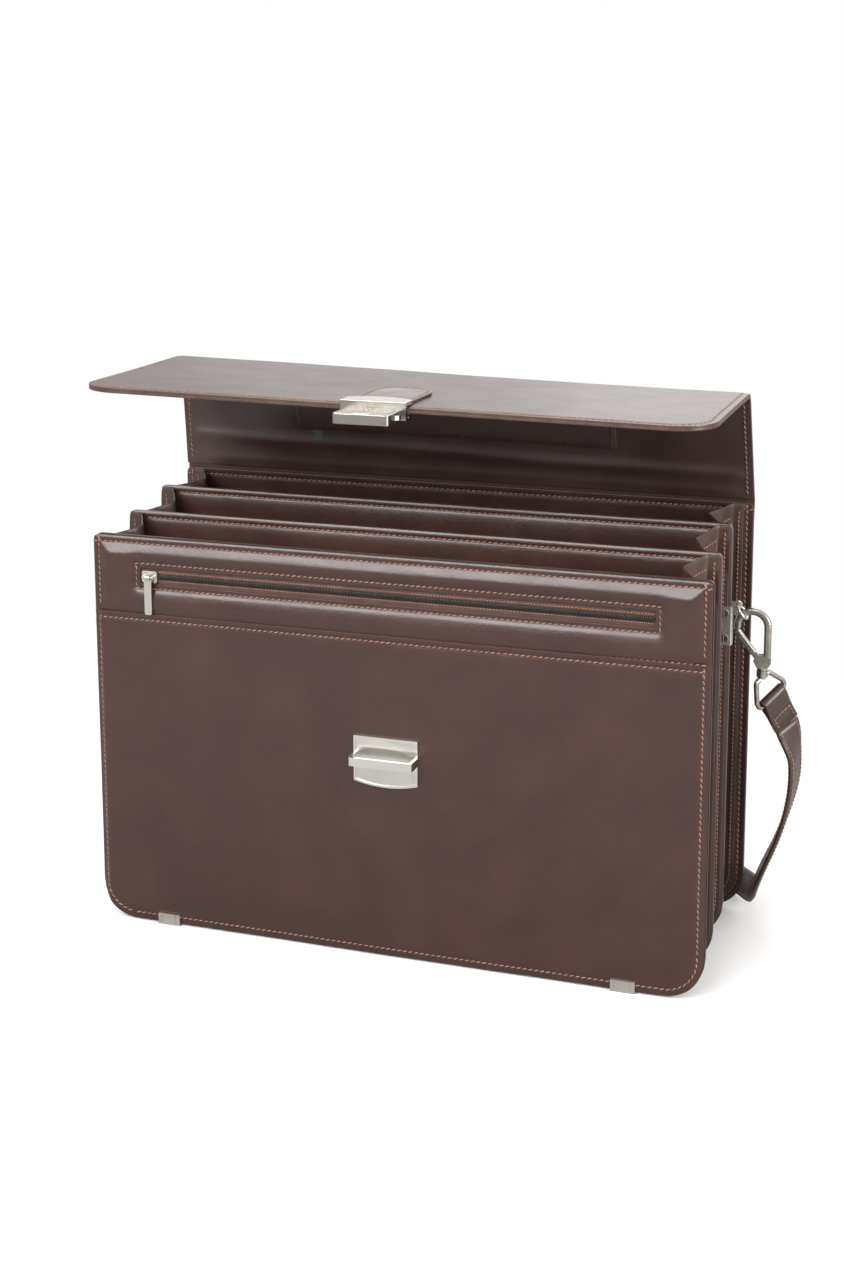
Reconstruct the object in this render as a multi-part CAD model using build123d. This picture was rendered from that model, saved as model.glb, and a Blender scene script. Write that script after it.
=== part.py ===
"""Leather briefcase, standing open: front panel, two dividers and a rear panel joined by folding gussets,
a flap with a lock, a handle on the flap and a shoulder strap hooked to the rear divider.
Millimetres, +Z up, the front faces -Y. The builders below measure Y from the slip pocket's front face;
save() moves every piece back by ORIGIN_Y, so that the origin lies under the middle of the briefcase."""
from build123d import *
from math import cos, pi, radians, sin, tan
import os

# ---- driving dimensions ----
WIDTH = 420.0
ORIGIN_Y = 63.45
FOOT_DROP = 1.5  # how far the foot clips stand below the panels
BOTTOM_RADIUS = 25.0
TOP_RADIUS = 3.0

FRONT_TOP = 271.5
DIVIDER_TOPS = (278.5, 287.5)
REAR_TOP = 291.0
DIVIDER_Y = (49.0, 95.0)
DIVIDER_THICKNESS = 4.0
DIVIDER_SETBACK = (3.2, 4.9)
REAR_Y = 148.2
REAR_LAYERS = (1.6, 1.8, 1.6)  # lining, board, outer leather, from the inside out

POCKET_TOP = 219.5
POCKET_THICKNESS = 1.6
POCKET_GAP = 0.4
FRONT_LEATHER = 1.6
FRONT_PADDING = 2.0
FRONT_BOARD = 1.8
FRONT_LINING = 1.2

ZIP_Z = 245.2
ZIP_WINDOW = (350.0, 11.0)
SLIDER_X = -168.0
BAIL_Y = -1.3

STAPLE_WIDTH = 44.0
STAPLE_Z = (118.0, 151.5)
STAPLE_LOOP_Z = (134.7, 140.3)
STAPLE_REACH = 13.5

FOOT_X = 159.0

GUSSET_THICKNESS = 1.2
GUSSET_SIDE_FOLD = 22.0
GUSSET_BOTTOM_FOLD = 9.0
GUSSET_CLEARANCE = 0.3

HINGE = (151.5, 293.5)  # Y and Z of the flap's bend above the rear panel
FLAP_LEAN = 13.8  # the flap's upright part leans this many degrees towards the front
FLAP_TOP_LENGTH = 80.0
FLAP_FRONT_LENGTH = 150.5
FLAP_HALF = 1.85
FLAP_CORNER = 28.0

HANDLE_HEIGHT = 40.0  # the handle's pivots above the bend, along the flap
HANDLE_OFFSET = 11.0  # and out from the flap's middle plane
HANDLE_HALF = 86.0
HANDLE_DROP = 46.0
HANDLE_TAPER = 16.0  # the grip's straight part ends this far inside its pivots
HANDLE_BEND = 20.0
HANDLE_START = -11.0  # where the grip starts, below its pivots
HANDLE_ANGLE = 13.0  # the handle hangs this many degrees away from the rear panel
GRIP_RADIUS = 8.0

LOCK_HALF = 18.3
LOCK_V = (153.0, 176.5)  # from the crease, along the flap
LOCK_W = (-7.0, -0.5)  # from the flap's middle plane, outwards

EYE = (209.4, 97.0, 233.4)
HOOK_CENTRE = (219.6, 220.0)
HOOK_RADIUS = 10.0
HOOK_WIRE = 4.6
HOOK_DEPTH = 4.2
PIVOT = (223.9, 198.2)
GATE_LEAN = 38.7
RING_WIRE = 1.0
NECK = (226.6, 190.0)
DEE_TURN = 50.0  # the dee turns this far about its neck, and tips this far sideways
DEE_TIP = 32.0
DEE_BAR = 18.0  # from the neck down to the dee's bottom bar
DEE_WIRE = 1.7
STRAP_WIDTH = 20.0
STRAP_END_LENGTH = 24.0
STRAP_TUBE = 6.0

# Route of each half of the shoulder strap, from the stitched end at its dee down to the floor
# and along the floor behind the rear panel to the slide buckle.
RIGHT_ROUTE = (
    (241.1, 114.3, 150.2),
    (246.3, 119.5, 134.0),
    (247.3, 120.0, 112.0),
    (243.5, 118.5, 90.0),
    (237.0, 117.5, 68.5),
    (229.0, 120.5, 49.0),
    (222.5, 131.0, 31.5),
    (218.5, 146.0, 18.5),
    (213.0, 162.0, 12.5),
    (203.0, 177.0, 11.0),
    (189.5, 190.0, 10.8),
    (172.0, 198.5, 9.8),
    (153.0, 197.0, 7.2),
    (138.5, 185.5, 4.6),
    (123.5, 173.0, 3.2),
    (105.0, 168.5, 3.2),
    (89.0, 178.0, 3.2),
    (82.0, 195.5, 3.2),
    (76.0, 213.0, 3.2),
    (62.5, 225.5, 3.2),
    (45.0, 228.5, 3.2),
    (29.0, 224.0, 3.2),
)
LEFT_ROUTE = (
    (-241.1, 114.3, 150.2),
    (-245.3, 119.0, 134.0),
    (-245.0, 120.5, 112.0),
    (-240.5, 120.0, 90.0),
    (-234.0, 120.5, 68.5),
    (-226.0, 124.5, 49.5),
    (-221.0, 136.5, 32.5),
    (-217.5, 152.0, 19.5),
    (-210.5, 168.0, 13.0),
    (-199.0, 182.5, 11.0),
    (-183.5, 193.0, 10.5),
    (-165.0, 197.0, 9.0),
    (-147.0, 191.5, 6.5),
    (-133.0, 179.0, 4.2),
    (-116.5, 170.0, 3.2),
    (-98.0, 172.5, 3.2),
    (-85.5, 186.5, 3.2),
    (-79.5, 204.0, 3.2),
    (-68.0, 218.5, 3.2),
    (-49.0, 226.0, 3.2),
    (-29.0, 224.0, 3.2),
)
BUCKLE_Y = 224.0

# ---- layers worked out from the dimensions ----
LEATHER_Y = POCKET_THICKNESS + POCKET_GAP
PADDING_Y = LEATHER_Y + FRONT_LEATHER
BOARD_Y = PADDING_Y + FRONT_PADDING
LINING_Y = BOARD_Y + FRONT_BOARD
FRONT_BACK = LINING_Y + FRONT_LINING
CREASE = (
    HINGE[0] - FLAP_TOP_LENGTH * sin(radians(FLAP_LEAN)),
    HINGE[1] + FLAP_TOP_LENGTH * cos(radians(FLAP_LEAN)),
)
FLAP_PLACE = Pos(0, *HINGE) * Rot(FLAP_LEAN, 0, 0)

os.makedirs("parts", exist_ok=True)


def save(shape, name):
    """Writes one node, moved so that the origin lies under the middle of the briefcase."""
    export_step(Pos(0, -ORIGIN_Y, 0) * shape, f"parts/{name}.step")


def upright(sketch, front, back):
    """A sketch drawn with X across and Z up, as a slab from Y = front to Y = back."""
    return Pos(0, back, 0) * extrude(Plane.XZ * sketch, amount=back - front)


def block(x0, x1, y0, y1, z0, z1):
    """A box from its corners."""
    return Pos((x0 + x1) / 2, (y0 + y1) / 2, (z0 + z1) / 2) * Box(x1 - x0, y1 - y0, z1 - z0)


def rod(axis, radius, centre, length):
    """A cylinder along X, Y or Z about its centre."""
    turns = {"x": Rot(0, 90, 0), "y": Rot(90, 0, 0), "z": Rot(0, 0, 0)}
    return Pos(*centre) * turns[axis] * Cylinder(radius, length)


def mirrored(shape):
    """The same shape on the left side."""
    return mirror(shape, Plane.YZ)


def panel(width, low, high, bottom_radius=BOTTOM_RADIUS, top_radius=TOP_RADIUS):
    """A panel's outline: large radii at the bottom corners, small ones at the top."""
    sketch = Pos(0, (low + high) / 2) * Rectangle(width, high - low)
    sketch = fillet(sketch.vertices().group_by(Axis.Y)[0], bottom_radius)
    return fillet(sketch.vertices().group_by(Axis.Y)[-1], top_radius)


# ---- front panel ----
PRONG_RADIUS = 1.5
PRONGS = ((-14.0, 126.0), (14.0, 126.0), (-14.0, 145.5), (14.0, 145.5))


def prongs(radius, y0, y1):
    """The staple's four posts, or the holes for them."""
    posts = [rod("y", radius, (x, (y0 + y1) / 2, z), y1 - y0) for x, z in PRONGS]
    return posts[0] + posts[1:]


def slip_pocket():
    """The patch pocket's sheet, with a seam margin behind its sides and bottom."""
    seam = 6.0
    outline = panel(WIDTH, FOOT_DROP, POCKET_TOP)
    inside = panel(WIDTH - 2 * seam, FOOT_DROP + seam, POCKET_TOP + seam, BOTTOM_RADIUS - seam, 1)
    sheet = upright(outline, 0, POCKET_THICKNESS)
    margin = upright(outline - inside, POCKET_THICKNESS, LEATHER_Y)
    return sheet + margin - prongs(PRONG_RADIUS + 0.05, -1, LEATHER_Y + 1)


def front_leather():
    """The front sheet, with the window for the zip."""
    outline = panel(WIDTH, FOOT_DROP, FRONT_TOP) - Pos(0, ZIP_Z) * RectangleRounded(*ZIP_WINDOW, 2)
    sheet = upright(outline, LEATHER_Y, PADDING_Y)
    return sheet - prongs(PRONG_RADIUS + 0.05, LEATHER_Y - 1, PADDING_Y + 1)


def front_padding():
    """The foam layer, cut out round the zip pocket and the staple's back plate."""
    margin = 4.0
    outline = panel(
        WIDTH - 2 * margin, FOOT_DROP + margin, FRONT_TOP - margin, BOTTOM_RADIUS - margin, 1
    )
    pouch_hole = Pos(0, 206.0) * Rectangle(372, 112)
    plate_hole = Pos(0, 135.75) * Rectangle(42, 30)
    return upright(outline - pouch_hole - plate_hole, PADDING_Y, BOARD_Y)


def front_board():
    """The stiffener."""
    margin = 4.0
    outline = panel(
        WIDTH - 2 * margin, FOOT_DROP + margin, FRONT_TOP - margin, BOTTOM_RADIUS - margin, 1
    )
    return upright(outline, BOARD_Y, LINING_Y)


def front_lining():
    """The inner sheet."""
    return upright(panel(WIDTH, FOOT_DROP, FRONT_TOP), LINING_Y, FRONT_BACK)


def zip_tape():
    """The two woven tapes of the zip, one each side of the chain."""
    strip = block(-182, 182, PADDING_Y, PADDING_Y + 0.4, ZIP_Z + 0.6, ZIP_Z + 13)
    return strip + Pos(0, 0, 2 * ZIP_Z) * mirror(strip, Plane.XY)


def zip_chain():
    """The closed coil, with a stop at each end."""
    coil = block(-174, 174, PADDING_Y - 1.2, PADDING_Y, ZIP_Z - 2.4, ZIP_Z + 2.4)
    coil = fillet(coil.edges().filter_by(Axis.X), 0.5)
    stops = [block(x - 1, x + 1, PADDING_Y - 1.5, PADDING_Y, ZIP_Z - 2.8, ZIP_Z + 2.8) for x in (-174, 174)]
    return coil + stops


def zip_pouch():
    """The zip pocket's thin bag, with its mouth behind the zip."""
    skin = 0.4
    front = PADDING_Y + 0.5
    bag = block(-184, 184, front, BOARD_Y - 0.1, 152, 260)
    hollow = block(-184 + skin, 184 - skin, front + skin, BOARD_Y - 0.1 - skin, 152 + skin, 260 - skin)
    mouth = block(-175, 175, front - 1, front + 2 * skin, ZIP_Z - 4, ZIP_Z + 4)
    return bag - hollow - mouth


def zip_slider():
    """The slider: a front plate with side flanges over the coil, and the bail that holds the puller."""
    plate = block(-5.5, 5.5, 0.9, 2.0, -4.0, 4.0)
    plate = fillet(plate.edges().filter_by(Axis.Y), 1.5)
    flanges = [block(-4.5, 4.5, 1.8, PADDING_Y - 0.2, z, z + 0.9) for z in (-4.0, 3.1)]
    posts = [block(x, x + 1.2, BAIL_Y - 0.7, 1.2, -0.9, 0.9) for x in (-4.2, 3.0)]
    bail = rod("x", 0.7, (0, BAIL_Y, 0), 7.0)
    return Pos(SLIDER_X, 0, ZIP_Z) * (plate + flanges + posts + bail)


def zip_puller():
    """The puller: an eye round the bail and a long flat tab."""
    eye = rod("x", 1.9, (0, BAIL_Y, 0), 3.4)
    tab = block(-2.6, 2.6, BAIL_Y - 0.65, BAIL_Y + 0.65, -25.5, -1.6)
    tab = fillet(tab.edges().filter_by(Axis.Y).group_by(Axis.Z)[0], 1.2)
    neck = block(-1.7, 1.7, BAIL_Y - 0.65, BAIL_Y + 0.65, -3, 0)
    puller = eye + neck + tab - rod("x", 0.85, (0, BAIL_Y, 0), 6)
    return Pos(SLIDER_X, 0, ZIP_Z) * puller


def staple_outline(inset=0.0):
    """The staple plate: straight top, and a shallow arc along the bottom."""
    half = STAPLE_WIDTH / 2 - inset
    low = STAPLE_Z[0] + inset
    high = STAPLE_Z[1] - inset
    rise = 3.0
    sides = Polyline((half, low + rise), (half, high), (-half, high), (-half, low + rise))
    belly = ThreePointArc((-half, low + rise), (0, low), (half, low + rise))
    return make_face(sides + belly)


def staple():
    """A fluted plate with a rim, the square loop that the lock drops through, and four posts."""
    rim = 1.3
    plate = upright(staple_outline(), -1.2, 0) + upright(staple_outline() - staple_outline(rim), -1.6, -1.2)
    pitch = 1.35
    count = 15
    middle = (STAPLE_Z[0] + STAPLE_Z[1]) / 2
    flutes = [rod("z", 0.45, (i * pitch, -1.35, middle), 40) for i in range(-count, count + 1)]
    field = upright(staple_outline(rim), -2, 0)
    plate = plate - [flute & field for flute in flutes]
    low, high = STAPLE_LOOP_Z
    outer = Pos(0, -STAPLE_REACH / 2) * Rectangle(STAPLE_WIDTH, STAPLE_REACH)
    outer = fillet(outer.vertices().group_by(Axis.Y)[0], 2.4)
    inner = Pos(0, -STAPLE_REACH / 2 + 2.2) * Rectangle(STAPLE_WIDTH - 4.4, STAPLE_REACH)
    inner = fillet(inner.vertices().group_by(Axis.Y)[0], 1.0)
    loop = Pos(0, 0, low) * extrude(outer - inner, amount=high - low)
    loop = loop - block(-STAPLE_WIDTH, STAPLE_WIDTH, -1.0, 5, low - 1, high + 1)
    return plate + loop + prongs(PRONG_RADIUS, -0.6, PADDING_Y + 0.8)


def staple_back_plate():
    """The plate behind the front leather that the staple's posts are clenched into."""
    plate = upright(Pos(0, 135.75) * RectangleRounded(40, 28, 2), PADDING_Y, PADDING_Y + 0.8)
    return plate - prongs(PRONG_RADIUS + 0.05, PADDING_Y - 1, PADDING_Y + 2)


def foot_clips(front, back):
    """A pair of metal clips round a panel's bottom edge, with a groove near each end."""
    clip = block(-8, 8, front - 1.2, back + 1.2, 0, 8)
    clip = fillet(clip.edges().filter_by(Axis.X).group_by(Axis.Z)[0], 1.0)
    clip = clip - [block(x - 0.5, x + 0.5, front - 2, front - 0.8, -1, 9) for x in (-5.2, 5.2)]
    clip = clip - block(-9, 9, front, back, FOOT_DROP, 9)
    return Pos(-FOOT_X, 0, 0) * clip + Pos(FOOT_X, 0, 0) * clip


# ---- dividers, rear panel and gussets ----
SCREW_X = 201.6
SCREW_ZS = (211.0, 228.0)
SCREW_RADIUS = 1.2
BOARD_MARGIN = 6.0
DIVIDER_SKIN = 1.2


def screw_holes(radius, y0, y1):
    """Holes for the four screws that clamp the strap brackets."""
    mids = [(x, (y0 + y1) / 2, z) for x in (-SCREW_X, SCREW_X) for z in SCREW_ZS]
    holes = [rod("y", radius, mid, y1 - y0) for mid in mids]
    return holes[0] + holes[1:]


def divider_board(index):
    """A divider's stiffener, inside its leather."""
    width = WIDTH - 2 * (DIVIDER_SETBACK[index] + BOARD_MARGIN)
    low = FOOT_DROP + BOARD_MARGIN
    high = DIVIDER_TOPS[index] - BOARD_MARGIN
    outline = panel(width, low, high, BOTTOM_RADIUS - BOARD_MARGIN, 1)
    y = DIVIDER_Y[index]
    return upright(outline, y + DIVIDER_SKIN, y + DIVIDER_THICKNESS - DIVIDER_SKIN)


def divider_leather(index):
    """A divider's leather: two faces stitched together round the board, with a slot in the bottom seam."""
    y = DIVIDER_Y[index]
    outline = panel(WIDTH - 2 * DIVIDER_SETBACK[index], FOOT_DROP, DIVIDER_TOPS[index])
    body = upright(outline, y, y + DIVIDER_THICKNESS) - divider_board(index)
    slot_top = FOOT_DROP + BOARD_MARGIN + 1
    return body - block(-150, 150, y + DIVIDER_SKIN, y + DIVIDER_THICKNESS - DIVIDER_SKIN, 0, slot_top)


def rear_layers():
    """The rear panel's lining, board and outer leather."""
    margin = 4.0
    outline = panel(WIDTH, FOOT_DROP, REAR_TOP)
    inside = panel(WIDTH - 2 * margin, FOOT_DROP + margin, REAR_TOP - margin, BOTTOM_RADIUS - margin, 1)
    faces = (("rear_lining", outline), ("rear_board", inside), ("rear_leather", outline))
    y = REAR_Y
    layers = {}
    for (name, face), thickness in zip(faces, REAR_LAYERS):
        layers[name] = upright(face, y, y + thickness)
        y += thickness
    return layers


def tub(stations, shrink, raise_top):
    """A ruled loft through U-shaped outlines: (y, half width, bottom, top, bottom radius) at each station."""
    faces = []
    for y, half, low, high, radius in stations:
        sketch = panel(2 * (half - shrink), low + shrink, high + raise_top, radius - shrink, 0.5)
        faces.append(Pos(0, y, 0) * (Plane.XZ * sketch))
    return loft(faces, ruled=True)


def gusset(front, back, front_top, back_top, setback):
    """One gusset: a U-shaped strip between two panels, folded inwards along its middle."""
    half = WIDTH / 2 - setback - 1.0
    middle = (front + back) / 2
    stations = (
        (front + GUSSET_CLEARANCE, half, FOOT_DROP + 1, front_top - 2, BOTTOM_RADIUS),
        (
            middle,
            half - GUSSET_SIDE_FOLD,
            FOOT_DROP + 1 + GUSSET_BOTTOM_FOLD,
            (front_top + back_top) / 2 - 2,
            BOTTOM_RADIUS,
        ),
        (back - GUSSET_CLEARANCE, half, FOOT_DROP + 1, back_top - 2, BOTTOM_RADIUS),
    )
    return tub(stations, 0, 0) - tub(stations, GUSSET_THICKNESS, 30) - fitting_room()


def fitting_room():
    """Room in the gussets for the strap brackets and for the foot clips' inner legs."""
    y0, y1 = DIVIDER_Y[1] - 3.0, DIVIDER_Y[1] + DIVIDER_THICKNESS + 3.0
    room = block(BRACKET_X[0] - 1, WIDTH / 2, y0, y1, BRACKET_Z[0] - 1.5, BRACKET_Z[1] + 5)
    feet = block(FOOT_X - 9, FOOT_X + 9, FRONT_BACK, FRONT_BACK + 1.8, -1, 9)
    feet = feet + block(FOOT_X - 9, FOOT_X + 9, REAR_Y - 1.8, REAR_Y, -1, 9)
    return [room, mirrored(room), feet, mirrored(feet)]


# ---- flap ----
HANDLE_BRACKET_X = 86.0
RIVET_OFFSETS = (-8.0, 8.0)
RIVET_RADIUS = 1.5
PATCH_THICKNESS = 1.0
PATCH_BAND = (33.5, 76.0)


def handle_rivet_holes(radius, n0, n1):
    """Rivet holes through the flap's upright part, across it from n0 to n1."""
    xs = [side * HANDLE_BRACKET_X + offset for side in (-1, 1) for offset in RIVET_OFFSETS]
    holes = [rod("y", radius, (x, (n0 + n1) / 2, HANDLE_HEIGHT), n1 - n0) for x in xs]
    return holes[0] + holes[1:]


def flap_top_leather():
    """The upright part's outer leather, with the rolls of leather at its two bends."""
    sheet = block(-WIDTH / 2, WIDTH / 2, 0, FLAP_HALF, 0, FLAP_TOP_LENGTH)
    rolls = [rod("x", FLAP_HALF, (0, 0, z), WIDTH) for z in (0, FLAP_TOP_LENGTH)]
    return FLAP_PLACE * (sheet + rolls - handle_rivet_holes(RIVET_RADIUS + 0.05, -3, 3))


def flap_top_lining():
    """The upright part's lining."""
    edge = FLAP_HALF + 0.4
    sheet = block(-WIDTH / 2, WIDTH / 2, -FLAP_HALF, 0, edge, FLAP_TOP_LENGTH - edge)
    return FLAP_PLACE * (sheet - handle_rivet_holes(RIVET_RADIUS + 0.05, -3, 3))


def lining_patch():
    """The stitched patch that backs the handle."""
    patch = block(-117, 117, -FLAP_HALF - PATCH_THICKNESS, -FLAP_HALF, *PATCH_BAND)
    patch = fillet(patch.edges().filter_by(Axis.Y).group_by(Axis.Z)[0], 4)
    return FLAP_PLACE * (patch - handle_rivet_holes(RIVET_RADIUS + 0.05, -4, 3))


def key_tab():
    """The small tab for the key, below the patch."""
    return FLAP_PLACE * block(-106, -98.6, -FLAP_HALF - 1.0, -FLAP_HALF, 22.0, PATCH_BAND[0] - 0.1)


def handle_brackets():
    """Two brackets: a plate on the flap and two ears with the handle's pin between them."""
    pieces = []
    for side in (-1, 1):
        x = side * HANDLE_BRACKET_X
        plate = block(x - 12, x + 12, FLAP_HALF, FLAP_HALF + 1.4, HANDLE_HEIGHT - 7, HANDLE_HEIGHT + 7)
        plate = fillet(plate.edges().filter_by(Axis.Y), 3)
        low, high = HANDLE_HEIGHT - 3.2, HANDLE_HEIGHT + 3.2
        ears = [
            block(x + ear - 0.8, x + ear + 0.8, FLAP_HALF, HANDLE_OFFSET, low, high)
            + rod("x", 3.2, (x + ear, HANDLE_OFFSET, HANDLE_HEIGHT), 1.6)
            for ear in (-4.4, 4.4)
        ]
        pin = rod("x", 1.6, (x, HANDLE_OFFSET, HANDLE_HEIGHT), 10)
        pieces.append(plate + ears + pin - handle_rivet_holes(RIVET_RADIUS + 0.05, 0, 5))
    return FLAP_PLACE * (pieces[0] + pieces[1])


def handle_rivets():
    """Four rivets through the bracket plates, the flap and the patch, headed on both sides."""
    inner = -FLAP_HALF - PATCH_THICKNESS
    outer = FLAP_HALF + 1.4
    shanks = handle_rivet_holes(RIVET_RADIUS, inner - 0.5, outer + 0.5)
    heads = [handle_rivet_holes(2.4, inner - 0.8, inner), handle_rivet_holes(2.4, outer, outer + 0.9)]
    return FLAP_PLACE * (shanks + heads)


def flap_front_outline(margin=0.0):
    """The front part's outline, seen from above: square at the crease, rounded at its free corners."""
    near = CREASE[0] - FLAP_HALF - 0.4
    far = CREASE[0] - FLAP_FRONT_LENGTH + margin
    sketch = Pos(0, (near + far) / 2) * Rectangle(WIDTH - 2 * margin, near - far)
    return fillet(sketch.vertices().group_by(Axis.Y)[0], FLAP_CORNER - margin)


def flap_layer(outline, w0, w1):
    """A layer of the flap's front part, between two distances from its middle plane."""
    return Pos(0, 0, CREASE[1] + w0) * extrude(outline, amount=w1 - w0)


def lock_point(v, w):
    """Y and Z of a point v along the flap's front part from the crease and w out from its middle plane."""
    return CREASE[0] - v, CREASE[1] + w


def lock_block(x0, x1, v0, v1, w0, w1):
    """A box in the flap's front part: across, along from the crease, and out from the middle plane."""
    (y_far, z0), (y_near, z1) = lock_point(v1, w0), lock_point(v0, w1)
    return block(x0, x1, y_far, y_near, z0, z1)


TONGUE_TOP = FLAP_HALF + 1.3
FRAME_HALF = 21.6


def lock_tongue():
    """The stitched leather tongue above the lock."""
    v0, v1 = 84.0, 149.0
    sketch = Pos(0, CREASE[0] - (v0 + v1) / 2) * Rectangle(40.5, v1 - v0)
    sketch = fillet(sketch.vertices().group_by(Axis.Y)[-1], 17)
    return flap_layer(sketch, FLAP_HALF, TONGUE_TOP)


def lock_frame():
    """The arched metal band that grips the flap's edge and the tongue, and carries the housing."""
    v0, v1 = 141.5, 153.0
    near, far = CREASE[0] - v0, CREASE[0] - v1
    sides = Polyline((-FRAME_HALF, near), (-FRAME_HALF, far), (FRAME_HALF, far), (FRAME_HALF, near))
    arch = ThreePointArc((FRAME_HALF, near), (0, near + 6.5), (-FRAME_HALF, near))
    body = flap_layer(make_face(sides + arch), LOCK_W[0] - 0.2, TONGUE_TOP + 1.3)
    body = fillet(body.edges().group_by(Axis.Z)[-1], 0.6)
    flap_slot = lock_block(-30, 30, 120, FLAP_FRONT_LENGTH, -FLAP_HALF, FLAP_HALF)
    tongue_slot = lock_block(-20.3, 20.3, 120, 149.0, 0, TONGUE_TOP)
    return body - flap_slot - tongue_slot


def lock_rivets():
    """Small rivet heads on the frame's two ends."""
    heads = []
    for side in (-1, 1):
        for w in (-3.2, -5.8):
            y, z = lock_point(147.5, w)
            heads.append(rod("x", 0.8, (side * (FRAME_HALF + 0.25), y, z), 0.5))
    return heads[0] + heads[1:]


CATCH_V = (159.6, 165.2)
CATCH_W = (-5.2, -2.4)
BUTTON_V = (155.4, 174.2)
KEY_V = 160.2
KEY_RADIUS = 2.9
SPRING_V = 169.0
FLOOR_W = LOCK_W[0] + 1.2


def lock_housing():
    """The lock's case: hollow, open at the frame, with the button's window, catch slots and two slits."""
    shell = lock_block(-LOCK_HALF, LOCK_HALF, LOCK_V[0], LOCK_V[1], *LOCK_W)
    shell = fillet(shell.edges().filter_by(Axis.Z).group_by(Axis.Y)[0], 2.5)
    shell = fillet(shell.edges().group_by(Axis.Z)[-1], 0.5)
    hollow = lock_block(-15.5, 15.5, LOCK_V[0] - 1, LOCK_V[1] - 1.3, FLOOR_W, LOCK_W[1] - 1.2)
    window = lock_block(-5.4, 5.4, BUTTON_V[0], BUTTON_V[1], -2, 1)
    catches = lock_block(-25, 25, CATCH_V[0] - 0.1, CATCH_V[1] + 0.1, CATCH_W[0] - 0.1, CATCH_W[1] + 0.1)
    slits = [lock_block(x - 0.45, x + 0.45, 157, 172, LOCK_W[1] - 0.5, 1) for x in (-16.6, 16.6)]
    return shell - hollow - window - catches - slits


def lock_button():
    """The push button, with a flange inside the case and the key's bore."""
    face = lock_block(-5.2, 5.2, BUTTON_V[0] + 0.2, BUTTON_V[1] - 0.2, -3.6, -0.2)
    face = fillet(face.edges().group_by(Axis.Z)[-1], 0.4)
    flange = lock_block(-6.3, 6.3, BUTTON_V[0] - 0.8, BUTTON_V[1] + 0.6, -3.6, LOCK_W[1] - 1.35)
    y, z = lock_point(KEY_V, -2)
    return face + flange - rod("z", KEY_RADIUS + 0.05, (0, y, z), 8)


def key_cylinder():
    """The cylinder that the key turns, with its keyhole."""
    y, z = lock_point(KEY_V, -2.0)
    barrel = rod("z", KEY_RADIUS, (0, y, z), 3.2)
    slot = block(-0.45, 0.45, y - 1.9, y + 1.2, z - 0.6, z + 3)
    return barrel - slot - rod("z", 0.9, (0, y + 1.0, z + 1.2), 3.4)


def lock_catch():
    """The right catch, which springs out under the staple's loop."""
    body = lock_block(9.2, 20.8, *CATCH_V, *CATCH_W)
    return chamfer(body.edges().filter_by(Axis.Z).group_by(Axis.X)[-1].sort_by(Axis.Y)[0], 2.0)


def lock_spring():
    """The coil under the button."""
    wire = 0.25
    height = -3.6 - FLOOR_W - 2 * wire - 0.06
    y, z = lock_point(SPRING_V, FLOOR_W + wire + 0.03)
    path = Helix(pitch=height / 2.5, height=height, radius=1.8)
    section = Plane(origin=path @ 0, z_dir=path % 0) * Circle(wire)
    return Pos(0, y, z) * sweep(section, path)


# ---- handle ----
def handle_place():
    """The handle's frame: its origin on the pivots' line, its local -Z towards the grip."""
    return FLAP_PLACE * Pos(0, HANDLE_OFFSET, HANDLE_HEIGHT) * Rot(HANDLE_ANGLE - FLAP_LEAN, 0, 0)


def handle_path():
    """The line of the grip: down from one pivot, across, and up to the other."""
    grip_half = HANDLE_HALF - HANDLE_TAPER
    points = (
        (-HANDLE_HALF, 0, HANDLE_START),
        (-grip_half, 0, -HANDLE_DROP),
        (grip_half, 0, -HANDLE_DROP),
        (HANDLE_HALF, 0, HANDLE_START),
    )
    return FilletPolyline(*points, radius=HANDLE_BEND)


def handle_tube(radius):
    """A round bar of the given radius along the handle's line."""
    path = handle_path()
    return sweep(Plane(origin=path @ 0, z_dir=path % 0) * Circle(radius), path)


CORE_RADIUS = 2.5


def handle_ends():
    """A metal end at each side: an eye on the bracket's pin, and a shank that goes into the grip."""
    path = handle_path()
    pieces = []
    for x in (-HANDLE_HALF, HANDLE_HALF):
        eye = rod("x", 3.4, (x, 0, 0), 6.8) + block(x - 2.2, x + 2.2, -2.2, 2.2, HANDLE_START - 3, 0)
        pieces.append(eye - rod("x", 1.65, (x, 0, 0), 12))
    grip_ends = [
        Plane(origin=path @ end, z_dir=path % end) * Pos(0, 0, inward * 5) * Cylinder(9, 10)
        for end, inward in ((0, 1), (1, -1))
    ]
    return pieces[0] + pieces[1] - grip_ends


# ---- strap brackets, rings, hooks and dees ----
BRACKET_PLATE = 1.1
BRACKET_X = (195.0, 206.3)
BRACKET_Z = (206.5, 232.5)
EYE_RADIUS = 3.0
EYE_HOLE = 1.5


def strap_bracket():
    """The right bracket: folded round the divider's edge, with an eye at its top corner."""
    y0, y1 = DIVIDER_Y[1], DIVIDER_Y[1] + DIVIDER_THICKNESS
    edge = WIDTH / 2 - DIVIDER_SETBACK[1]
    body = block(*BRACKET_X, y0 - BRACKET_PLATE, y1 + BRACKET_PLATE, *BRACKET_Z)
    body = fillet(body.edges().filter_by(Axis.Z).group_by(Axis.X)[-1], 0.9)
    body = body - block(BRACKET_X[0] - 1, edge, y0, y1, BRACKET_Z[0] - 1, BRACKET_Z[1] + 1)
    web = block(BRACKET_X[1] - 1.1, EYE[0], EYE[1] - 1.4, EYE[1] + 1.4, EYE[2] - 6.5, EYE[2] + 2.2)
    body = body + web + rod("y", EYE_RADIUS, EYE, 2.8)
    return body - rod("y", EYE_HOLE, EYE, 8) - screw_holes(SCREW_RADIUS + 0.05, 90, 104)


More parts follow.
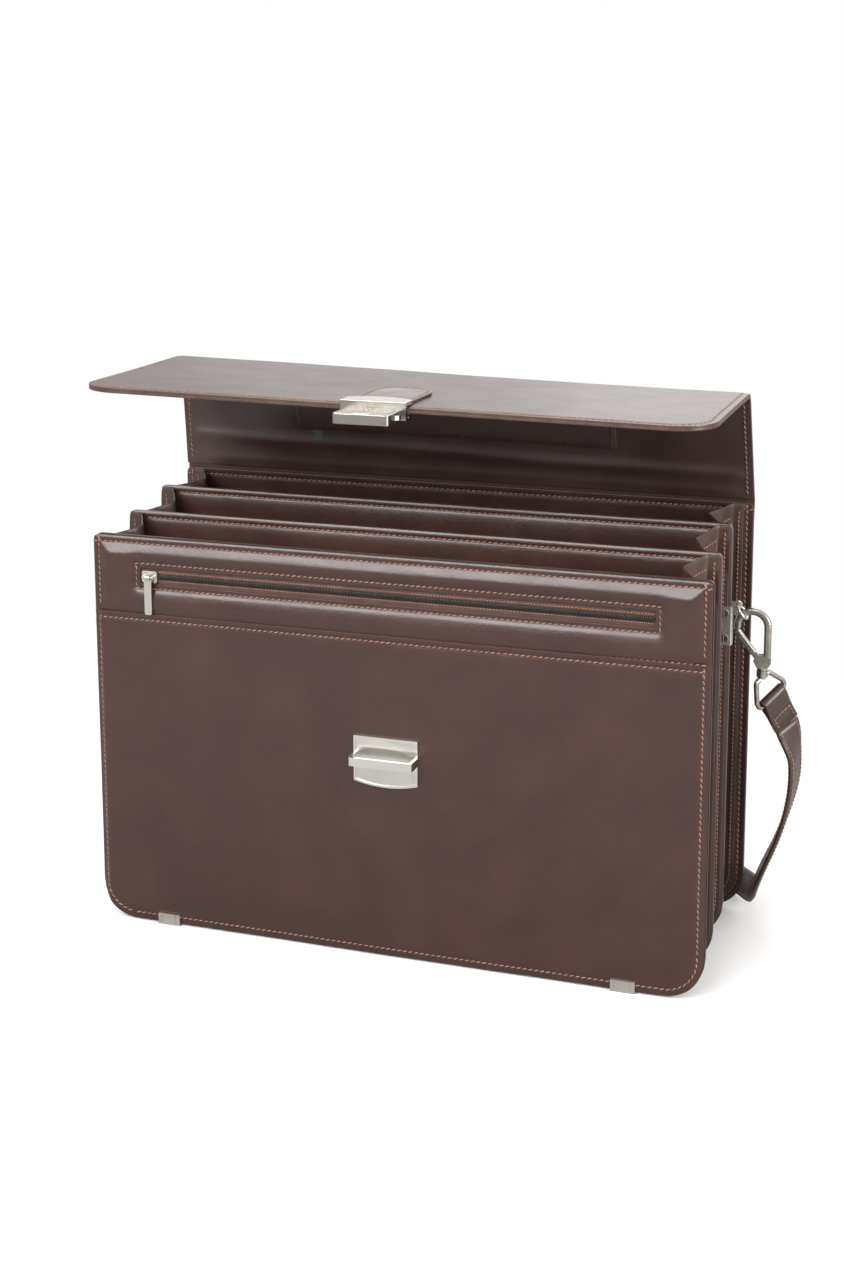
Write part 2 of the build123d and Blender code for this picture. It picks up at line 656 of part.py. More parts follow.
def bracket_screws():
    """Four slotted screws that clamp the brackets through the divider."""
    y0 = DIVIDER_Y[1] - BRACKET_PLATE
    y1 = DIVIDER_Y[1] + DIVIDER_THICKNESS + BRACKET_PLATE
    heads = screw_holes(2.5, y0 - 1.0, y0)
    slots = [
        block(x - 0.35, x + 0.35, y0 - 2, y0 - 0.5, z - 3, z + 3)
        for x in (-SCREW_X, SCREW_X)
        for z in SCREW_ZS
    ]
    return heads - slots + screw_holes(SCREW_RADIUS, y0, y1) + screw_holes(2.2, y1, y1 + 0.7)


def ring_direction():
    """The unit direction, in X and Z, from the bracket's eye to the ring's far side."""
    dx, dz = HOOK_CENTRE[0] - EYE[0], HOOK_CENTRE[1] - EYE[2]
    length = (dx * dx + dz * dz) ** 0.5
    return dx / length, dz / length, length


def strap_ring():
    """The round ring through the bracket's eye, with the hook's bow through it."""
    dx, dz, distance = ring_direction()
    diameter = distance - (HOOK_RADIUS - HOOK_WIRE / 2 - RING_WIRE - 0.2)
    centre = (EYE[0] + dx * diameter / 2, EYE[1], EYE[2] + dz * diameter / 2)
    return Plane(origin=centre, x_dir=(0, 1, 0), z_dir=(dz, 0, -dx)) * Torus(diameter / 2, RING_WIRE)


def hook():
    """The hook: spine, bow and nose in one bar, cheeks at the gate's pivot, and the swivel's neck."""
    cx, cz = HOOK_CENTRE
    spine_x = cx + HOOK_RADIUS
    nose_z = cz - 3.0
    bottom = (spine_x, PIVOT[1] - 1)
    path = Polyline((bottom[0], EYE[1], bottom[1]), (spine_x, EYE[1], cz))
    bow = ThreePointArc((spine_x, EYE[1], cz), (cx, EYE[1], cz + HOOK_RADIUS), (cx - HOOK_RADIUS, EYE[1], cz))
    nose = Line((cx - HOOK_RADIUS, EYE[1], cz), (cx - HOOK_RADIUS, EYE[1], nose_z))
    section = Plane(origin=(bottom[0], EYE[1], bottom[1]), z_dir=(0, 0, 1)) * RectangleRounded(
        HOOK_WIRE, HOOK_DEPTH, 1.5
    )
    bar = sweep(section, Wire([*path.edges(), *bow.edges(), *nose.edges()]))
    tip_cut = Pos(cx - HOOK_RADIUS, EYE[1], nose_z) * Rot(0, -GATE_LEAN, 0) * Pos(0, 0, -5) * Box(14, 8, 10)
    bar = bar - tip_cut
    cheek = Polyline(
        (spine_x + HOOK_WIRE / 2, PIVOT[1] + 1),
        (spine_x + HOOK_WIRE / 2, PIVOT[1] - 3),
        (NECK[0] + 3.4, NECK[1] + 2.6),
        (NECK[0] - 3.4, NECK[1] + 2.6),
        (PIVOT[0] - 3.2, PIVOT[1] - 1),
        (PIVOT[0] - 1.5, PIVOT[1] + 2.9),
        (PIVOT[0] + 3.0, PIVOT[1] + 3.4),
        close=True,
    )
    plate = upright(make_face(cheek), EYE[1] - HOOK_DEPTH / 2, EYE[1] + HOOK_DEPTH / 2)
    slot = rod("y", 4.6, (PIVOT[0], EYE[1], PIVOT[1]), 2.2)
    corner = block(PIVOT[0] - 8, PIVOT[0], EYE[1] - 1.1, EYE[1] + 1.1, PIVOT[1], PIVOT[1] + 8)
    neck = rod("z", 3.4, (NECK[0], EYE[1], NECK[1] + 1.9), 1.6)
    stem = rod("z", 1.5, (NECK[0], EYE[1], NECK[1] - 1.4), 6.2)
    button = rod("z", 2.4, (NECK[0], EYE[1], NECK[1] - 4.2), 1.2)
    pin = rod("y", 1.1, (PIVOT[0], EYE[1], PIVOT[1]), HOOK_DEPTH + 0.5)
    return bar + plate - slot - corner + neck + stem + button + pin


def hook_gate():
    """The sprung gate, from its pivot to the hook's nose."""
    tip = (HOOK_CENTRE[0] - HOOK_RADIUS, HOOK_CENTRE[1] - 3.6)
    dx, dz = tip[0] - PIVOT[0], tip[1] - PIVOT[1]
    reach = (dx * dx + dz * dz) ** 0.5
    start = 5.2
    bar = block(-2.1, 2.1, -HOOK_DEPTH / 2, HOOK_DEPTH / 2, start, reach)
    bar = fillet(bar.edges().filter_by(Axis.Z), 1.0)
    tongue = block(-1.8, 1.8, -0.95, 0.95, 0, start + 1) + rod("y", 2.6, (0, 0, 0), 1.9)
    gate = bar + tongue - rod("y", 1.15, (0, 0, 0), 6)
    return Pos(PIVOT[0], EYE[1], PIVOT[1]) * Rot(0, -GATE_LEAN, 0) * gate


def dee_place():
    """The dee's frame: origin at the neck, local X along its bar and local -Z down to it."""
    return Pos(NECK[0], EYE[1], NECK[1] - 3.6) * Rot(0, 0, DEE_TURN) * Rot(0, -DEE_TIP, 0)


def strap_dee():
    """The dee that holds the strap: a boss that turns on the hook's neck, and a rounded wire loop."""
    boss = Pos(NECK[0], EYE[1], NECK[1] - 1.25) * Cylinder(3.6, 4.2)
    top, bottom = 6.0, 12.4
    points = ((0, 0), (top, -0.5), (bottom, -DEE_BAR + 5), (bottom, -DEE_BAR), (-bottom, -DEE_BAR))
    points += ((-bottom, -DEE_BAR + 5), (-top, -0.5))
    path = FilletPolyline(*[(x, 0, z) for x, z in points], radius=2.6, close=True)
    loop = sweep(Plane(origin=path @ 0, z_dir=path % 0) * Circle(DEE_WIRE), path)
    dee = boss + dee_place() * loop
    bore = rod("z", 1.6, (NECK[0], EYE[1], NECK[1]), 12)
    head_room = rod("z", 2.6, (NECK[0], EYE[1], NECK[1] - 6.5), 6.4)
    return dee - bore - head_room


def strap_end():
    """The strap's end: folded round the dee's bar and stitched back on itself."""
    inner = DEE_WIRE + 0.3
    outer = inner + 1.8
    roll = rod("x", outer, (0, 0, 0), STRAP_WIDTH) - rod("x", inner, (0, 0, 0), STRAP_WIDTH + 2)
    tail = block(-STRAP_WIDTH / 2, STRAP_WIDTH / 2, -outer, outer, -STRAP_END_LENGTH, 0)
    tail = tail - rod("x", inner, (0, 0, 0), STRAP_WIDTH + 2)
    tail = tail - block(-11, 11, -inner, inner, -4, 0)
    return dee_place() * Pos(0, 0, -DEE_BAR) * (roll + tail)


# ---- shoulder strap ----
def strap_path(route):
    """Straight runs joined by arcs, each as large as its two runs allow, and the list of their radii."""
    points = [Vector(*p) for p in route]
    runs = [(b - a).length for a, b in zip(points, points[1:])]
    radii = []
    for i in range(1, len(points) - 1):
        half_turn = radians((points[i] - points[i - 1]).get_angle(points[i + 1] - points[i])) / 2
        radii.append(0.45 * min(runs[i - 1], runs[i]) / tan(half_turn))
    return FilletPolyline(*points, radius=radii), radii


def strap(route, name):
    """Half of the strap, as a plain round tube along its route."""
    path, radii = strap_path(route)
    tube = sweep(Plane(origin=path @ 0, z_dir=path % 0) * Circle(STRAP_TUBE / 2), path)
    print(name, "length", round(path.length, 1), "radii", [round(radius) for radius in radii])
    section = pi * STRAP_TUBE**2 / 4
    print(name, "volume", round(tube.volume), "section times length", round(section * path.length))
    return tube


def strap_buckle():
    """The slide buckle on the floor between the strap's two halves: a frame with a middle bar."""
    frame = Pos(0, BUCKLE_Y) * RectangleRounded(54, 30, 5)
    windows = [Pos(x, BUCKLE_Y) * RectangleRounded(20.5, 22, 2) for x in (-13.2, 13.2)]
    plate = extrude(frame - windows, amount=3.0)
    sockets = [rod("x", STRAP_TUBE / 2, (x, BUCKLE_Y, 3.2), 4) for x in (-29.0, 29.0)]
    return Pos(0, 0, 1.7) * plate - sockets


def main():
    save(slip_pocket(), "slip_pocket")
    save(front_leather(), "front_leather")
    save(front_padding(), "front_padding")
    save(front_board(), "front_board")
    save(front_lining(), "front_lining")
    save(zip_tape(), "zip_tape")
    save(zip_chain(), "zip_chain")
    save(zip_pouch(), "zip_pouch")
    save(zip_slider(), "zip_slider")
    save(zip_puller(), "zip_puller")
    save(staple(), "staple")
    save(staple_back_plate(), "staple_back_plate")
    save(foot_clips(0, FRONT_BACK), "front_feet")
    save(foot_clips(REAR_Y, REAR_Y + sum(REAR_LAYERS)), "rear_feet")

    save(divider_leather(0), "front_divider_leather")
    save(divider_board(0), "front_divider_board")
    save(divider_leather(1) - screw_holes(SCREW_RADIUS + 0.05, 90, 104), "rear_divider_leather")
    save(divider_board(1), "rear_divider_board")
    for name, layer in rear_layers().items():
        save(layer, name)
    backs = [y + DIVIDER_THICKNESS for y in DIVIDER_Y]
    setback = DIVIDER_SETBACK[1]
    save(gusset(FRONT_BACK, DIVIDER_Y[0], FRONT_TOP, DIVIDER_TOPS[0], DIVIDER_SETBACK[0]), "gusset_front")
    save(gusset(backs[0], DIVIDER_Y[1], *DIVIDER_TOPS, setback), "gusset_middle")
    save(gusset(backs[1], REAR_Y, DIVIDER_TOPS[1], REAR_TOP, setback), "gusset_rear")

    save(flap_top_leather(), "flap_top_leather")
    save(flap_top_lining(), "flap_top_lining")
    save(lining_patch(), "lining_patch")
    save(key_tab(), "key_tab")
    save(handle_brackets(), "handle_brackets")
    save(handle_rivets(), "handle_rivets")
    save(flap_layer(flap_front_outline(), 0.5, FLAP_HALF), "flap_front_leather")
    save(flap_layer(flap_front_outline(5.0), -0.6, 0.5), "flap_front_board")
    save(flap_layer(flap_front_outline(), -FLAP_HALF, -0.6), "flap_front_lining")
    save(lock_tongue(), "lock_tongue")
    save(lock_frame(), "lock_frame")
    save(lock_rivets(), "lock_rivets")
    save(lock_housing(), "lock_housing")
    save(lock_button(), "lock_button")
    save(key_cylinder(), "key_cylinder")
    save(lock_catch(), "lock_catch_right")
    save(mirrored(lock_catch()), "lock_catch_left")
    save(lock_spring(), "lock_spring")

    grip = handle_tube(GRIP_RADIUS) - handle_tube(CORE_RADIUS)
    save(handle_place() * grip, "handle_grip")
    save(handle_place() * handle_tube(CORE_RADIUS), "handle_core")
    save(handle_place() * handle_ends(), "handle_ends")

    save(strap_bracket() + mirrored(strap_bracket()), "strap_brackets")
    save(bracket_screws(), "bracket_screws")
    for name, piece in (
        ("strap_ring", strap_ring()),
        ("strap_hook", hook()),
        ("hook_gate", hook_gate()),
        ("strap_dee", strap_dee()),
        ("strap_end", strap_end()),
    ):
        save(piece, f"{name}_right")
        save(mirrored(piece), f"{name}_left")
    save(strap(RIGHT_ROUTE, "right strap"), "strap_right")
    save(strap(LEFT_ROUTE, "left strap"), "strap_left")
    save(strap_buckle(), "strap_buckle")


main()
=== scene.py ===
"""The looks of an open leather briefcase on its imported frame: soft leather panels and gussets, thread, zip,
shoulder strap, metal finishes, studio light and camera. Lengths in this file are millimetres unless they are
named otherwise, and Y is measured from the slip pocket's front face; at() turns them into the row frame."""
from math import cos, exp, hypot, pi, radians, sin, sqrt

import bmesh
import bpy
import numpy as np
from mathutils import Matrix, Vector, noise


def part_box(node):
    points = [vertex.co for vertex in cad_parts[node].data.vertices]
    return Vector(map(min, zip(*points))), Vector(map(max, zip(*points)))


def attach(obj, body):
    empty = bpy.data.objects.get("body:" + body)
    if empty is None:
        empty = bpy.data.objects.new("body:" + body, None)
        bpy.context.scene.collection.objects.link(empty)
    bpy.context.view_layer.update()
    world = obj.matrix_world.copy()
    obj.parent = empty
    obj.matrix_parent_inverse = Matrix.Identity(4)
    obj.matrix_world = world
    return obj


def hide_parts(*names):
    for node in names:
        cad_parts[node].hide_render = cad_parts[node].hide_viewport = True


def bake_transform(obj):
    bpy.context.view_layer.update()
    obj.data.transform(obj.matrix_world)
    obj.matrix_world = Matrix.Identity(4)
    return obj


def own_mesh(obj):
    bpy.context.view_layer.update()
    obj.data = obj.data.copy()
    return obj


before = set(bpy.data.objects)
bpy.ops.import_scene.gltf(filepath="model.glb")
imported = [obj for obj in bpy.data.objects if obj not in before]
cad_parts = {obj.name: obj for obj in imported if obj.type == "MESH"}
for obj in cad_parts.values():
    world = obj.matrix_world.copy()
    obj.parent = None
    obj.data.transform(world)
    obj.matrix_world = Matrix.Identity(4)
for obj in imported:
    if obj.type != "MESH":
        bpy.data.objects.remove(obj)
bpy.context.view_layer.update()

MM = 0.001
FRONT_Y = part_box("slip_pocket")[0][1] / MM


def at(x, y, z):
    """A point of the row frame, in metres."""
    return Vector((x * MM, (y + FRONT_Y) * MM, z * MM))


def low_of(node, axis):
    """A CAD node's lowest X, Y or Z."""
    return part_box(node)[0][axis] / MM - (FRONT_Y if axis == 1 else 0)


def high_of(node, axis):
    """A CAD node's highest X, Y or Z."""
    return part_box(node)[1][axis] / MM - (FRONT_Y if axis == 1 else 0)


# ---- sizes read from the frame ----
X, Y, Z = 0, 1, 2
HALF = high_of("front_leather", X)
BASE = low_of("front_leather", Z)
FRONT_TOP = high_of("front_leather", Z)
POCKET_TOP = high_of("slip_pocket", Z)
FRONT_BACK = high_of("front_lining", Y)
LINING_Y = FRONT_BACK - 1.8
REAR_FRONT = low_of("rear_lining", Y)
REAR_BACK = high_of("rear_leather", Y)
REAR_TOP = high_of("rear_lining", Z)
BOTTOM_RADIUS = 25.0
TOP_RADIUS = 4.0
LOW_PART, TOP_PART = 60, 12  # the parts of a panel's height that are squeezed to round its corners
SEAM = 4.3  # from an edge in to its stitches
WINDOW_HALF = 175.0
WINDOW_Z = (low_of("zip_chain", Z) + high_of("zip_chain", Z)) / 2
WINDOW_HIGH = 5.5
WINDOW_SEAM = 3.0  # from the window out to its stitches
GUSSET_ROOM = 13.5  # a divider's top stitches stop this far in, where the closed gussets lie

# ---- the flap: an upright part above the rear panel, a crease, and a part that reaches forward ----
HINGE_Y, HINGE_Z = REAR_BACK - 1.7, REAR_TOP + 2.5
FLAP_LEAN = radians(13.8)
FLAP_RISE = 80.0
FLAP_REACH = 150.5
FLAP_HALF = 1.85
FLAP_CORNER = 28.0
LOCK_S = 215.0  # the lock's place along the flap, from the hinge
CREASE_Y = HINGE_Y - FLAP_RISE * sin(FLAP_LEAN)
CREASE_Z = HINGE_Z + FLAP_RISE * cos(FLAP_LEAN)
CREASE_RADIUS = 9.0
BRACKET_X, BRACKETS_END = 110.0, 50.0  # the handle's brackets keep the flap flat out to here and up to here
TWIST_Y, TWIST_Z = 11.0, 2.6  # how far back and up the crease stands at its left end


# ---- small helpers ----
def smooth(start, end, value):
    """0 before start, 1 after end, and an S-curve between them."""
    t = min(max((value - start) / (end - start), 0.0), 1.0)
    return t * t * (3 - 2 * t)


def bump(value, centre, width):
    """A soft bump, 1 at its centre."""
    return exp(-(((value - centre) / width) ** 2))


def swell(value, size):
    """0 up to value 0, then rising at once and levelling off towards 1."""
    return 1 - exp(-max(value, 0) / size)


def wobble(x, z, size, seed):
    """Smooth noise from about -1 to 1, with features of the given size."""
    return noise.noise(Vector((x / size, z / size, seed * 7.31)))


def spread(start, end, step):
    """Evenly spaced values from start to end, both included."""
    count = max(int(round(abs(end - start) / step)), 1)
    return [start + (end - start) * i / count for i in range(count + 1)]


def unit(vector):
    """A vector's direction, with length 1."""
    return vector / np.linalg.norm(vector)


def distances(line):
    """How far along a line each of its points is."""
    return np.concatenate([[0], np.cumsum(np.linalg.norm(np.diff(line, axis=0), axis=1))])


def point_along(line, travel, s):
    """The value at distance s of a line whose points are at the distances in travel."""
    return np.array([np.interp(s, travel, line[:, k]) for k in range(line.shape[1])])


def tube_faces(count, sides):
    """Faces of a tube of count rings with so many points each, and of its two ends."""
    faces = [
        (i * sides + k, i * sides + (k + 1) % sides, (i + 1) * sides + (k + 1) % sides, (i + 1) * sides + k)
        for i in range(count - 1)
        for k in range(sides)
    ]
    return faces + [tuple(reversed(range(sides))), tuple((count - 1) * sides + k for k in range(sides))]


NEAR_EDGE = (0, 0.9, 1.9, 3.1, 4.3, 5.2, 6.3, 7.8, 9.6, 12, 15, 19, 24, 29)


def columns(half, extra=()):
    """X of a panel's columns, close together along its sides."""
    inner = half - NEAR_EDGE[-1]
    right = [half - d for d in NEAR_EDGE]
    values = set(spread(-inner, inner, 7.5)) | set(right) | {-x for x in right}
    values = {x for x in values if all(abs(x - e) > 0.8 for e in extra)} | set(extra)
    return sorted(values)


def rows(low, high, extra=()):
    """Z of a panel's rows, close together along its bottom and top."""
    values = set(spread(low + NEAR_EDGE[-1], high - NEAR_EDGE[-1], 8)) | {low + d for d in NEAR_EDGE}
    values = values | {high - d for d in NEAR_EDGE}
    values = {z for z in values if all(abs(z - e) > 0.8 for e in extra)} | set(extra)
    return sorted(values)


def corner_cut(x, half, radius):
    """How much a rounded corner takes off a column's end."""
    over = abs(x) - (half - radius)
    return 0.0 if over <= 0 else radius - sqrt(max(radius * radius - over * over, 0.0))


def inset(x, z, half, low, radius=BOTTOM_RADIUS):
    """Distance from a panel's side and bottom edge, round its bottom corners."""
    side, floor = half - abs(x), z - low
    if side < radius and floor < radius:
        return radius - hypot(radius - side, radius - floor)
    return min(side, floor)


def link(obj):
    bpy.context.scene.collection.objects.link(obj)
    return obj


def mesh_object(name, points, faces, materials, face_materials=None):
    """A smooth-shaded mesh from points in millimetres."""
    mesh = bpy.data.meshes.new(name)
    mesh.from_pydata([at(*p) for p in points], [], faces)
    for material in materials:
        mesh.materials.append(material)
    if face_materials:
        mesh.polygons.foreach_set("material_index", face_materials)
    mesh.polygons.foreach_set("use_smooth", [True] * len(faces))
    return link(bpy.data.objects.new(name, mesh))


def soften(obj, width):
    """Rounds a piece's sharp edges."""
    modifier = obj.modifiers.new("soften", "BEVEL")
    modifier.width = width * MM
    modifier.segments = 2
    modifier.limit_method = "ANGLE"
    modifier.angle_limit = radians(50)
    return obj


def sheet(name, us, vs, point, thickness, materials, skip=None, back=None, width=0.45):
    """A closed sheet: its outer face is point(u, v), facing along u cross v, and its rim is joined up."""
    outer = np.array([[point(u, v) for v in vs] for u in us])
    if back:
        inner = np.array([[back(u, v) for v in vs] for u in us])
    else:
        normal = np.cross(np.gradient(outer, axis=0), np.gradient(outer, axis=1))
        inner = outer - thickness * normal / np.linalg.norm(normal, axis=2, keepdims=True)
    count = len(us) * len(vs)
    faces, edges = [], set()
    for i in range(len(us) - 1):
        for j in range(len(vs) - 1):
            if skip and skip((us[i] + us[i + 1]) / 2, (vs[j] + vs[j + 1]) / 2):
                continue
            a = i * len(vs) + j
            loop = (a, a + len(vs), a + len(vs) + 1, a + 1)
            faces.append(loop)
            edges.update(zip(loop, loop[1:] + loop[:1]))
    rim = [(b, a, a + count, b + count) for a, b in sorted(edges) if (b, a) not in edges]
    inside = [tuple(i + count for i in reversed(face)) for face in faces]
    points = np.concatenate([outer.reshape(-1, 3), inner.reshape(-1, 3)])
    used = sorted({i for face in faces + inside for i in face})
    place = {old: new for new, old in enumerate(used)}
    faces_all = [tuple(place[i] for i in face) for face in faces + inside + rim]
    slots = [0] * len(faces) + [len(materials) - 2 if len(materials) > 2 else 0] * len(inside)
    slots += [len(materials) - 1] * len(rim)
    return soften(mesh_object(name, points[used], faces_all, materials, slots), width)


def panel_point(half, low, high, depth, top_radius=TOP_RADIUS):
    """point(x, z) of a panel with rounded corners, whose face is at Y = depth(x, z)."""
    def point(x, z):
        bottom = low + corner_cut(x, half, BOTTOM_RADIUS)
        top = high - corner_cut(x, half, top_radius)
        if z < low + LOW_PART:
            z = bottom + (z - low) * (low + LOW_PART - bottom) / LOW_PART
        elif z > high - TOP_PART:
            z = top - (high - z) * (top - high + TOP_PART) / TOP_PART
        return (x, depth(x, z), z)
    return point


# ---- procedural materials ----
def add(tree, kind, settings=None, **inputs):
    """Adds a node, and links or sets its inputs by name."""
    item = tree.nodes.new(kind)
    for key, value in (settings or {}).items():
        setattr(item, key, value)
    for key, value in inputs.items():
        socket = item.inputs[key.replace("_", " ")]
        if isinstance(value, bpy.types.NodeSocket):
            tree.links.new(value, socket)
        else:
            socket.default_value = value
    return item


def material(name):
    """A new material, its node tree and its object coordinates."""
    made = bpy.data.materials.new(name)
    made.use_nodes = True
    tree = made.node_tree
    return made, tree, tree.nodes["Principled BSDF"], add(tree, "ShaderNodeTexCoord").outputs["Object"]


def mottled(tree, where, scale, dark, light, detail=5.0):
    """A colour that drifts between two tones."""
    cloud = add(tree, "ShaderNodeTexNoise", Vector=where, Scale=scale, Detail=detail, Roughness=0.6)
    ramp = add(tree, "ShaderNodeValToRGB", Fac=cloud.outputs["Fac"])
    for stop, position, colour in zip(ramp.color_ramp.elements, (0.35, 0.68), (dark, light)):
        stop.position = position
        stop.color = (*colour, 1)
    return ramp.outputs["Color"]


def ranged(tree, value, start, end, low, high):
    """A value taken from start..end to low..high along a soft S-curve."""
    span = add(tree, "ShaderNodeMapRange", {"interpolation_type": "SMOOTHSTEP"}, Value=value)
    for socket, number in zip(("From Min", "From Max", "To Min", "To Max"), (start, end, low, high)):
        span.inputs[socket].default_value = number
    return span.outputs["Result"]


def product(tree, first, second):
    """Two values multiplied."""
    both = add(tree, "ShaderNodeMath", {"operation": "MULTIPLY"})
    tree.links.new(first, both.inputs[0])
    tree.links.new(second, both.inputs[1])
    return both.outputs[0]


def wandering(tree, where, scale, low, high):
    """A number that drifts between two values."""
    cloud = add(tree, "ShaderNodeTexNoise", Vector=where, Scale=scale, Detail=3.0)
    return ranged(tree, cloud.outputs["Fac"], 0.3, 0.7, low, high)


def leather(name, dark, light, rough=(0.28, 0.38), coat=0.35, grain=0.2, creases=0.3):
    """Finished leather: drifting colour, fine pores, soft creases and a thin glossy coat."""
    made, tree, shader, where = material(name)
    tree.links.new(mottled(tree, where, 22, dark, light, detail=2.5), shader.inputs["Base Color"])
    tree.links.new(wandering(tree, where, 40, *rough), shader.inputs["Roughness"])
    shader.inputs["Coat Weight"].default_value = coat
    shader.inputs["Coat Roughness"].default_value = 0.2
    pores = add(tree, "ShaderNodeTexVoronoi", Vector=where, Scale=950.0, Randomness=1.0)
    folds = add(
        tree, "ShaderNodeTexNoise", Vector=where, Scale=150.0, Detail=7.0, Roughness=0.62, Distortion=0.5
    )
    fine = add(tree, "ShaderNodeBump", Strength=grain, Distance=0.00018, Height=pores.outputs["Distance"])
    soft = add(
        tree, "ShaderNodeBump", Strength=creases, Distance=0.0007, Height=folds.outputs["Fac"],
        Normal=fine.outputs[0],
    )
    tree.links.new(soft.outputs[0], shader.inputs["Normal"])
    return made


def metal(name, dark, light, rough=(0.2, 0.3), brushed=0.02, patina=60.0):
    """Plated metal with faint brushing and a little tarnish."""
    made, tree, shader, where = material(name)
    tree.links.new(mottled(tree, where, patina, dark, light), shader.inputs["Base Color"])
    tree.links.new(wandering(tree, where, 220, *rough), shader.inputs["Roughness"])
    shader.inputs["Metallic"].default_value = 1.0
    stretch = add(tree, "ShaderNodeMapping", Vector=where, Scale=(0.06, 1.0, 1.0))
    lines = add(tree, "ShaderNodeTexNoise", Vector=stretch.outputs[0], Scale=1800.0, Detail=2.0)
    relief = add(tree, "ShaderNodeBump", Strength=brushed, Distance=0.0001, Height=lines.outputs["Fac"])
    tree.links.new(relief.outputs[0], shader.inputs["Normal"])
    return made


def woven(name, dark, light, thread):
    """Cloth with a fine two-way weave; thread is its pitch in millimetres."""
    made, tree, shader, where = material(name)
    tree.links.new(mottled(tree, where, 90, dark, light), shader.inputs["Base Color"])
    shader.inputs["Roughness"].default_value = 0.85
    waves = []
    for direction in ("X", "Z"):
        settings = {"bands_direction": direction}
        wave = add(tree, "ShaderNodeTexWave", settings, Vector=where, Scale=314 / thread)
        waves.append(wave.outputs["Fac"])
    relief = add(tree, "ShaderNodeBump", Strength=0.6, Distance=0.0002, Height=product(tree, *waves))
    tree.links.new(relief.outputs[0], shader.inputs["Normal"])
    return made


def plain(name, dark, light, rough, strength=0.2):
    """Thread, plastic, edge paint with its painted highlight, or board: a drifting colour and a fine relief.
    """
    made, tree, shader, where = material(name)
    tree.links.new(mottled(tree, where, 120, dark, light), shader.inputs["Base Color"])
    shader.inputs["Roughness"].default_value = rough
    dots = add(tree, "ShaderNodeTexNoise", Vector=where, Scale=900.0, Detail=4.0)
    relief = add(tree, "ShaderNodeBump", Strength=strength, Distance=0.0002, Height=dots.outputs["Fac"])
    tree.links.new(relief.outputs[0], shader.inputs["Normal"])
    return made


FRONT_LEATHER = leather(
    "front_leather", (0.032, 0.0105, 0.0078), (0.042, 0.0145, 0.011), grain=0.3, creases=0.45
)
PANEL_LEATHER = leather(
    "panel_leather", (0.036, 0.015, 0.012), (0.048, 0.021, 0.017), rough=(0.28, 0.34), creases=0.4
)
FLAP_LEATHER = leather(
    "flap_leather", (0.04, 0.0175, 0.0135), (0.05, 0.0225, 0.018), rough=(0.36, 0.4), coat=0.2
)
FLAP_LINING = leather(
    "flap_lining", (0.046, 0.0235, 0.0205), (0.06, 0.033, 0.029), rough=(0.4, 0.5), coat=0.08, creases=0.12
)
GUSSET_LEATHER = leather(
    "gusset_leather", (0.038, 0.018, 0.013), (0.055, 0.027, 0.02), rough=(0.38, 0.5), coat=0.12
)
STRAP_LEATHER = leather("strap_leather", (0.034, 0.015, 0.011), (0.055, 0.026, 0.02), rough=(0.3, 0.42))
INNER_LINING = leather(
    "inner_lining", (0.024, 0.0135, 0.011), (0.035, 0.02, 0.0165), rough=(0.5, 0.6), coat=0.05
)
# Edge paint on the cut edges. Its tone is set lighter than the leather as a painted highlight, standing in
# for edges that catch the light.
EDGE_PAINT_AND_HIGHLIGHT = plain("edge_paint_and_highlight", (0.05, 0.026, 0.02), (0.085, 0.045, 0.036), 0.33, strength=0.35)
THREAD = plain("thread", (0.2, 0.095, 0.066), (0.32, 0.165, 0.118), 0.5, strength=0.3)
DARK_THREAD = plain("dark_thread", (0.03, 0.018, 0.014), (0.06, 0.035, 0.025), 0.55, strength=0.3)
KEY_TAB = plain("key_tab", (0.05, 0.055, 0.048), (0.09, 0.1, 0.085), 0.7)
COIL = plain("zip_coil", (0.012, 0.009, 0.008), (0.024, 0.017, 0.014), 0.45)
TAPE = woven("zip_tape", (0.068, 0.036, 0.029), (0.098, 0.054, 0.045), thread=0.5)
FOAM = woven("foam", (0.4, 0.38, 0.33), (0.52, 0.5, 0.45), thread=1.2)
POUCH = woven("pouch_cloth", (0.05, 0.035, 0.028), (0.08, 0.056, 0.045), thread=0.4)
BOARD = plain("board", (0.2, 0.15, 0.11), (0.3, 0.24, 0.18), 0.85, strength=0.5)
SATIN_NICKEL = metal(
    "satin_nickel", (0.58, 0.55, 0.51), (0.62, 0.595, 0.55), rough=(0.36, 0.39), brushed=0.01
)
BRIGHT_NICKEL = metal(
    "bright_nickel", (0.72, 0.7, 0.66), (0.78, 0.76, 0.72), rough=(0.16, 0.2), brushed=0.01
)
# The lock's nickel. Its base is set darker than the other nickel as painted shade, holding back the softbox's
# reflection in the lock's plates.
LOCK_NICKEL_SHADED = metal(
    "lock_nickel_shaded", (0.42, 0.4, 0.37), (0.46, 0.44, 0.405), rough=(0.22, 0.24), brushed=0.01
)
AGED_NICKEL = metal("aged_nickel", (0.3, 0.28, 0.25), (0.46, 0.43, 0.385), rough=(0.26, 0.4), patina=140.0)
BRASS = metal("lock_brass", (0.45, 0.36, 0.2), (0.6, 0.5, 0.3), rough=(0.25, 0.35))

